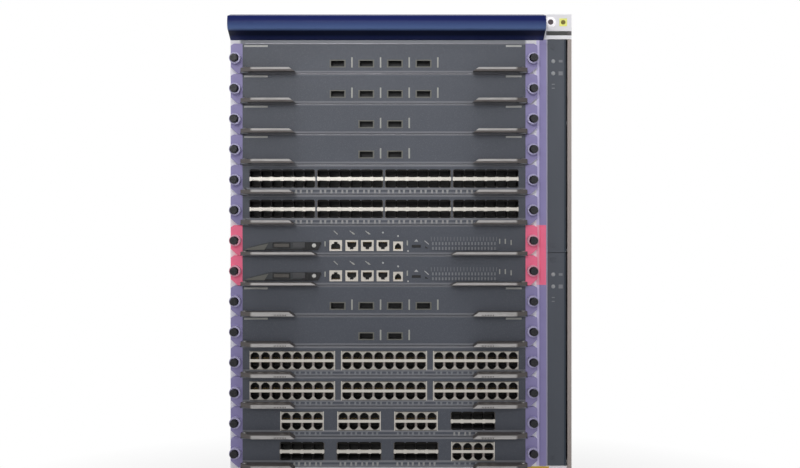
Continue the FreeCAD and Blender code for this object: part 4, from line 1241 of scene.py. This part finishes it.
def make_corner_and_shelf_plates():
    """Yellow plates on the corner and the shelf lip, the strap jack's washer, and a dark plate as painted
    shade on the flange slot's floor.
    """
    front, (low, high) = cage()[2], node_box("esd_jack")
    x, z = (low.x + high.x) / 2, (low.z + high.z) / 2
    square = tablet(9.8, 10.0, 0.35, "corner_plate", 0.3)
    dot = lathe([(0, -1.2), (2.4, -1.0), (3.0, -0.3), (0, -0.3)], 16, "corner_dot")
    ring = Form().turned([(4.6, -0.6), (6.9, -0.6), (7.2, -0.3), (7.2, 0.02), (4.6, 0.02)], 28, ring=True)
    meshes = [laid(form, x + 16.3, front, z) for form in (square, dot)]
    meshes.append(laid(ring.mesh("jack_nut", True), x, front, z))
    bay, top = node_box("fan_tray_upper"), Card(1).top
    height = (top + FLANGE_SLOT[0] + 0.3, top + FLANGE_SLOT[1] - 0.3)
    # dark plate as painted shade on the floor of the flange slot
    recess = Form().block((bay[0].x - 1.0, bay[1].x + 2.0), (0.6, 1.6), height)
    meshes.append(laid(recess.mesh("recess"), 0.0, front))
    for limits in SHELF_PLATES:
        plate = slab(limits, (-0.4, 0.03), (-15.5, -0.6), "plate", 0.15)
        meshes.append(laid(plate, 0.0, front, node_box("mid_shelf")[1].z))
    piece("blank_plates", "chassis", meshes)


# ---------------------------------------------------------------- fan trays
def guard_wires():
    """Rings and spokes of one fan's wire guard, about the origin."""
    wires, thick = [], 0.6
    for radius in (14.0, 24.0, 34.0, 44.0, 54.0):
        ring = [(radius, -0.5), (radius + thick, 0.0), (radius, 0.5), (radius - thick, 0.0)]
        wires.append(Form().turned(ring, 40, ring=True).mesh("dark_steel", True))
    spoke = slab((-29.0, 29.0), (-0.4, 0.4), (-thick, thick), "dark_steel")
    return wires + [repeated(round_a_centre, spoke, count=6, radius=29.0 * MM)]


def make_fan_trays():
    """Lamps, marks and screws on the front plate of each fan tray, and wire guards beside its fans."""
    front, turn = cage()[2], quarter(1, "Z")
    lamp = lathe([(0, -1.0), (1.5, -0.9), (2.3, -0.4), (2.6, 0.0), (0, 0.0)], 20, "fan_lamp")
    flat, tall, dash = (tablet(*size, 0.2, "faint_mark") for size in ((5.0, 3.2), (5.4, 5.0), (3.8, 1.2)))
    head, column, beside = screw_head(3.2, "fan_tray"), -4.5, 5.0
    marks = [(lamp, column, 27.5), (flat, beside, 27.5), (lamp, column, 43.0), (tall, beside, 43.0)]
    marks += [(dash, column, 57.0), (dash, column, 62.0)]
    for word in ("upper", "lower"):
        low, high = node_box("fan_tray_" + word)
        x, z = (low.x + high.x) / 2, (low.z + high.z) / 2 + 1.5
        meshes = [laid(form, x + right, front, high.z - drop) for form, right, drop in marks]
        meshes += [laid(head, x + column, front, height) for height in (low.z + 9.0, high.z - 9.0)]
        piece(f"fan_front_{word}", f"fan_tray_{word}_body", meshes)
        guards = []
        for wire in guard_wires():
            for centre in (z - FAN_SPACING / 2, z + FAN_SPACING / 2):
                guards.append(laid(wire, high.x - 0.7, front + FAN_GUARD_DEPTH, centre, turn))
        piece(f"fan_guards_{word}", f"fan_tray_{word}_body", guards)


# ---------------------------------------------------------------- power supplies
def supply_inlet():
    """Pins and lined socket of a mains inlet, about its middle, face of the case at y = 0."""
    pins = Form()
    for x, z in ((-7.0, -2.5), (7.0, -2.5), (0.0, 3.0)):
        pins.block((x - 1.0, x + 1.0), (-19.0, -6.0), (z - 2.0, z + 2.0), 0.3)
    rim = [(-13.9, -10.9), (13.9, -10.9), (13.9, 6.0), (9.0, 10.9), (-9.0, 10.9), (-13.9, 6.0)]
    lining = Form().outline(rim, (-19.5, 1.5), [(x * 0.88, z * 0.88) for x, z in rim])
    return pins.mesh("screw"), lining.mesh("black")


def make_supply_details():
    """Perforated grille, lamps, latch and handle sleeve in front, and the inlet at the back."""
    front, inlet = cage()[2], supply_inlet()
    grille = in_grid(cut_sheet(circle(2.5, 6), (-0.5, 0.3), "dark_steel", circle(1.9, 6)), 15, 4, 3.9, 18.0)
    lamp = lathe([(0, -0.9), (1.1, -0.8), (1.6, 0.0), (0, 0.0)], 16, "green_lamp")
    latch = tablet(20.0, 7.0, 3.0, "plate", 0.8, 0.02)
    sleeve = tablet(13.2, 60.0, 27.0, "black", 1.6, -17.4)
    screw = screw_head(3.0)
    for number in range(1, SUPPLIES + 1):
        low, high = node_box(f"power_supply_{number}")
        body = f"power_supply_{number}_body"
        middle, height = (low.x + high.x) / 2, (low.z + high.z) / 2
        meshes = [laid(grille, high.x - 37.0, front, height)]
        meshes += [laid(lamp, high.x - 12.0 - 8.0 * i, front, high.z - 12.0) for i in range(3)]
        meshes += [laid(latch, high.x - 22.0, front, low.z + 14.0), laid(sleeve, low.x + 20.0, front, height)]
        meshes += [laid(screw, low.x + 7.0, front, z) for z in (low.z + 8.0, high.z - 8.0)]
        piece(f"supply_front_{number}", body, meshes)
        piece(f"supply_inlet_{number}", body, [laid(form, middle, high.y, height) for form in inlet])


# ---------------------------------------------------------------- stage
def shown(thing):
    """The object, linked to the scene."""
    bpy.context.scene.collection.objects.link(thing)
    return thing


def make_camera():
    """Camera level with the cards, with its lens shifted so that the uprights stay upright."""
    settings = bpy.context.scene.switch_stage
    data = bpy.data.cameras.new("camera")
    data.lens, data.sensor_width, data.shift_y = settings.lens, 36.0, settings.shift
    camera = shown(bpy.data.objects.new("camera", data))
    camera.location = (-1.3 * MM, cage()[2] * MM - settings.camera_distance, settings.camera_height)
    camera.rotation_euler = (math.pi / 2, 0.0, 0.0)
    bpy.context.scene.camera = camera


def make_lamps():
    """Soft lamps in front and behind, each turned to the chassis."""
    settings = bpy.context.scene.switch_stage
    powers = (settings.key, settings.fill, settings.front, settings.back, settings.back * 0.45)
    for (name, kind, size, place, aim), power in zip(LAMPS, powers):
        lamp = bpy.data.lights.new(name, kind)
        lamp.energy = power
        if kind == "SPOT":
            lamp.shadow_soft_size, lamp.spot_size, lamp.spot_blend = size, math.radians(36), 1.0
        else:
            lamp.size = size
        thing = shown(bpy.data.objects.new(name, lamp))
        thing.location = place
        target = Vector((0.0, cage()[2] * MM, aim))
        thing.rotation_euler = (target - Vector(place)).to_track_quat("-Z", "Y").to_euler()


def make_world():
    """Even light all round, at full strength where the camera or a reflection sees it."""
    world, ambient = bpy.data.worlds.new("even_light"), bpy.context.scene.switch_stage.ambient
    bpy.context.scene.world = world
    world.use_nodes = True
    world.node_tree.nodes.clear()
    sheet = Sheet(world.node_tree)
    ray = sheet.node("ShaderNodeLightPath", {}, {}, "Is Camera Ray")
    seen = (ray + ray.out("Is Glossy Ray") + ray.out("Is Transmission Ray")).above(0.5, 0.1)
    values = {"Color": (1, 1, 1, 1), "Strength": ambient + seen * (1.0 - ambient)}
    sheet.node("ShaderNodeOutputWorld", {}, {"Surface": sheet.node("ShaderNodeBackground", {}, values)})


def make_floor():
    """Pale floor that keeps the shadow near the chassis and melts into the background further off."""
    reach = 40.0
    mesh = bpy.data.meshes.new("floor")
    mesh.from_pydata([(x, y, 0) for x, y in rectangle(-reach, reach, -reach, reach)], [], [(0, 1, 2, 3)])
    floor = shown(bpy.data.objects.new("floor", mesh))
    floor.location.z = -0.2 * MM
    f = Finish("pale_floor")
    ray = f.node("ShaderNodeLightPath", {}, {}, "Is Camera Ray")
    matt = f.node("ShaderNodeBsdfDiffuse", {}, {"Color": (0.86, 0.86, 0.86, 1.0)})
    glow = f.node("ShaderNodeEmission", {}, {"Color": (1, 1, 1, 1), "Strength": 1.0})
    away = f.node("ShaderNodeVectorMath", {"operation": "LENGTH"}, {0: f.place}, "Value")
    share = (ray + ray.out("Is Glossy Ray")).above(0.5, 0.1) * (away.above(0.65, 0.5) * 0.4 + 0.6)
    surface = f.node("ShaderNodeMixShader", {}, {0: share, 1: matt, 2: glow})
    f.node("ShaderNodeOutputMaterial", {}, {"Surface": surface})
    mesh.materials.append(f.material)


def make_stage():
    """Camera in front of the chassis, soft lamps, even light, and a pale floor that keeps the shadow."""
    make_camera()
    make_lamps()
    make_world()
    make_floor()
    bpy.context.scene.view_settings.view_transform = "Standard"


# ---------------------------------------------------------------- operators
def node_finish(name):
    """The finish that a CAD node takes."""
    plain = {
        "front_bezel": "bezel", "slot_labels": "label", "esd_jack": "jack_nut", "card_guides": "guide",
        "backplane": "circuit",
    }
    if name in plain:
        return plain[name]
    if name.startswith("card_"):
        return CARD_KINDS[int(name[-2:]) - 1] + "_card"
    if name.startswith("lever_"):
        return "long_lever" if CARD_KINDS[int(name.split("_")[1]) - 1] == "control" else "lever"
    if name.startswith("fan_tray"):
        return "fan_tray"
    return "supply" if name.startswith("power_supply") else "chassis"


def dress_nodes():
    """Gives every CAD node its finish."""
    make_finishes()
    for name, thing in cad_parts.items():
        material = FINISHES[node_finish(name)]
        if not thing.material_slots:
            thing.data.materials.append(material)
        for slot in thing.material_slots:
            slot.material = material


class SWITCH_OT_stage(bpy.types.Operator):
    """Makes the camera, lamps and floor"""
    bl_idname = "chassis_switch.stage"
    bl_label = "Stage"
    bl_options = {"REGISTER", "UNDO"}

    def execute(self, context):
        make_stage()
        return {"FINISHED"}


class SWITCH_OT_finishes(bpy.types.Operator):
    """Gives every CAD node its finish"""
    bl_idname = "chassis_switch.finishes"
    bl_label = "Finishes"
    bl_options = {"REGISTER", "UNDO"}

    def execute(self, context):
        dress_nodes()
        return {"FINISHED"}


class SWITCH_OT_thumbscrews(bpy.types.Operator):
    """Fluted heads and collars at both ends of every card"""
    bl_idname = "chassis_switch.thumbscrews"
    bl_label = "Thumbscrews"
    bl_options = {"REGISTER", "UNDO"}

    def execute(self, context):
        make_thumbscrews()
        return {"FINISHED"}


class SWITCH_OT_gaskets(bpy.types.Operator):
    """Spring fingers in the seams between the cards"""
    bl_idname = "chassis_switch.gaskets"
    bl_label = "Seam gaskets"
    bl_options = {"REGISTER", "UNDO"}

    def execute(self, context):
        make_gaskets()
        return {"FINISHED"}


class SWITCH_OT_levers(bpy.types.Operator):
    """Pin heads and finger ribs of the ejector levers"""
    bl_idname = "chassis_switch.levers"
    bl_label = "Lever details"
    bl_options = {"REGISTER", "UNDO"}

    def execute(self, context):
        make_lever_details()
        return {"FINISHED"}


class SWITCH_OT_two_row_ports(bpy.types.Operator):
    """Shields, springs, contacts and marks of the copper and fibre ports"""
    bl_idname = "chassis_switch.two_row_ports"
    bl_label = "Two-row ports"
    bl_options = {"REGISTER", "UNDO"}

    def execute(self, context):
        make_two_row_ports()
        return {"FINISHED"}


class SWITCH_OT_optical_sockets(bpy.types.Operator):
    """Trims, linings and lamp windows of the optical sockets"""
    bl_idname = "chassis_switch.optical_sockets"
    bl_label = "Optical sockets"
    bl_options = {"REGISTER", "UNDO"}

    def execute(self, context):
        make_optical_sockets()
        return {"FINISHED"}


class SWITCH_OT_marker_strips(bpy.types.Operator):
    """Blank strips at the upper ends of the cards"""
    bl_idname = "chassis_switch.marker_strips"
    bl_label = "Marker strips"
    bl_options = {"REGISTER", "UNDO"}

    def execute(self, context):
        make_marker_strips()
        return {"FINISHED"}


class SWITCH_OT_control_panels(bpy.types.Operator):
    """Jacks, lamps and option bay of the control cards"""
    bl_idname = "chassis_switch.control_panels"
    bl_label = "Control panels"
    bl_options = {"REGISTER", "UNDO"}

    def execute(self, context):
        make_control_panels()
        return {"FINISHED"}


class SWITCH_OT_board_parts(bpy.types.Operator):
    """Heat sinks, chips and capacitors on the boards"""
    bl_idname = "chassis_switch.board_parts"
    bl_label = "Board parts"
    bl_options = {"REGISTER", "UNDO"}

    def execute(self, context):
        make_board_parts()
        return {"FINISHED"}


class SWITCH_OT_chassis_screws(bpy.types.Operator):
    """Screws along the chassis sheets"""
    bl_idname = "chassis_switch.chassis_screws"
    bl_label = "Chassis screws"
    bl_options = {"REGISTER", "UNDO"}

    def execute(self, context):
        make_chassis_screws()
        return {"FINISHED"}


class SWITCH_OT_rear_louvres(bpy.types.Operator):
    """Pressed louvres in the rear cover"""
    bl_idname = "chassis_switch.rear_louvres"
    bl_label = "Rear louvres"
    bl_options = {"REGISTER", "UNDO"}

    def execute(self, context):
        make_rear_louvres()
        return {"FINISHED"}


class SWITCH_OT_air_filters(bpy.types.Operator):
    """Wire screens inside the side walls"""
    bl_idname = "chassis_switch.air_filters"
    bl_label = "Air screens"
    bl_options = {"REGISTER", "UNDO"}

    def execute(self, context):
        make_air_filters()
        return {"FINISHED"}


class SWITCH_OT_plates(bpy.types.Operator):
    """Blank plates on the corner and the shelf"""
    bl_idname = "chassis_switch.plates"
    bl_label = "Blank plates"
    bl_options = {"REGISTER", "UNDO"}

    def execute(self, context):
        make_corner_and_shelf_plates()
        return {"FINISHED"}


class SWITCH_OT_fan_fronts(bpy.types.Operator):
    """Lamps, marks, screws and wire guards of the fan trays"""
    bl_idname = "chassis_switch.fan_fronts"
    bl_label = "Fan tray details"
    bl_options = {"REGISTER", "UNDO"}

    def execute(self, context):
        make_fan_trays()
        return {"FINISHED"}


class SWITCH_OT_supplies(bpy.types.Operator):
    """Grilles, lamps, handles and inlets of the power supplies"""
    bl_idname = "chassis_switch.supplies"
    bl_label = "Power supply details"
    bl_options = {"REGISTER", "UNDO"}

    def execute(self, context):
        make_supply_details()
        return {"FINISHED"}


# in the order in which they run
OPERATORS = (
    SWITCH_OT_stage, SWITCH_OT_finishes, SWITCH_OT_thumbscrews, SWITCH_OT_gaskets, SWITCH_OT_levers,
    SWITCH_OT_two_row_ports, SWITCH_OT_optical_sockets, SWITCH_OT_marker_strips, SWITCH_OT_control_panels,
    SWITCH_OT_board_parts, SWITCH_OT_chassis_screws, SWITCH_OT_rear_louvres, SWITCH_OT_air_filters,
    SWITCH_OT_plates, SWITCH_OT_fan_fronts, SWITCH_OT_supplies,
)


class SWITCH_PT_panel(bpy.types.Panel):
    """Lists the steps that dress the switch."""
    bl_idname = "SWITCH_PT_panel"
    bl_label = "Chassis switch"
    bl_space_type = "VIEW_3D"
    bl_region_type = "UI"
    bl_category = "Chassis switch"

    def draw(self, context):
        for group in (context.scene.switch_colours, context.scene.switch_sizes, context.scene.switch_stage):
            for name in group.__annotations__:
                self.layout.prop(group, name)
        for made in OPERATORS:
            self.layout.operator(made.bl_idname)


CLASSES = (SwitchColours, SwitchSizes, StageSettings) + OPERATORS + (SWITCH_PT_panel,)


def register():
    """Registers the classes and hangs the settings on the scene."""
    for made in CLASSES:
        bpy.utils.register_class(made)
    bpy.types.Scene.switch_colours = bpy.props.PointerProperty(type=SwitchColours)
    bpy.types.Scene.switch_sizes = bpy.props.PointerProperty(type=SwitchSizes)
    bpy.types.Scene.switch_stage = bpy.props.PointerProperty(type=StageSettings)


def unregister():
    """Takes the settings off the scene and the classes out."""
    for name in ("switch_colours", "switch_sizes", "switch_stage"):
        delattr(bpy.types.Scene, name)
    for made in reversed(CLASSES):
        bpy.utils.unregister_class(made)


def main():
    """Makes everything in order."""
    register()
    for made in OPERATORS:
        getattr(bpy.ops.chassis_switch, made.bl_idname.split(".")[1])()


if __name__ == "__main__":
    main()
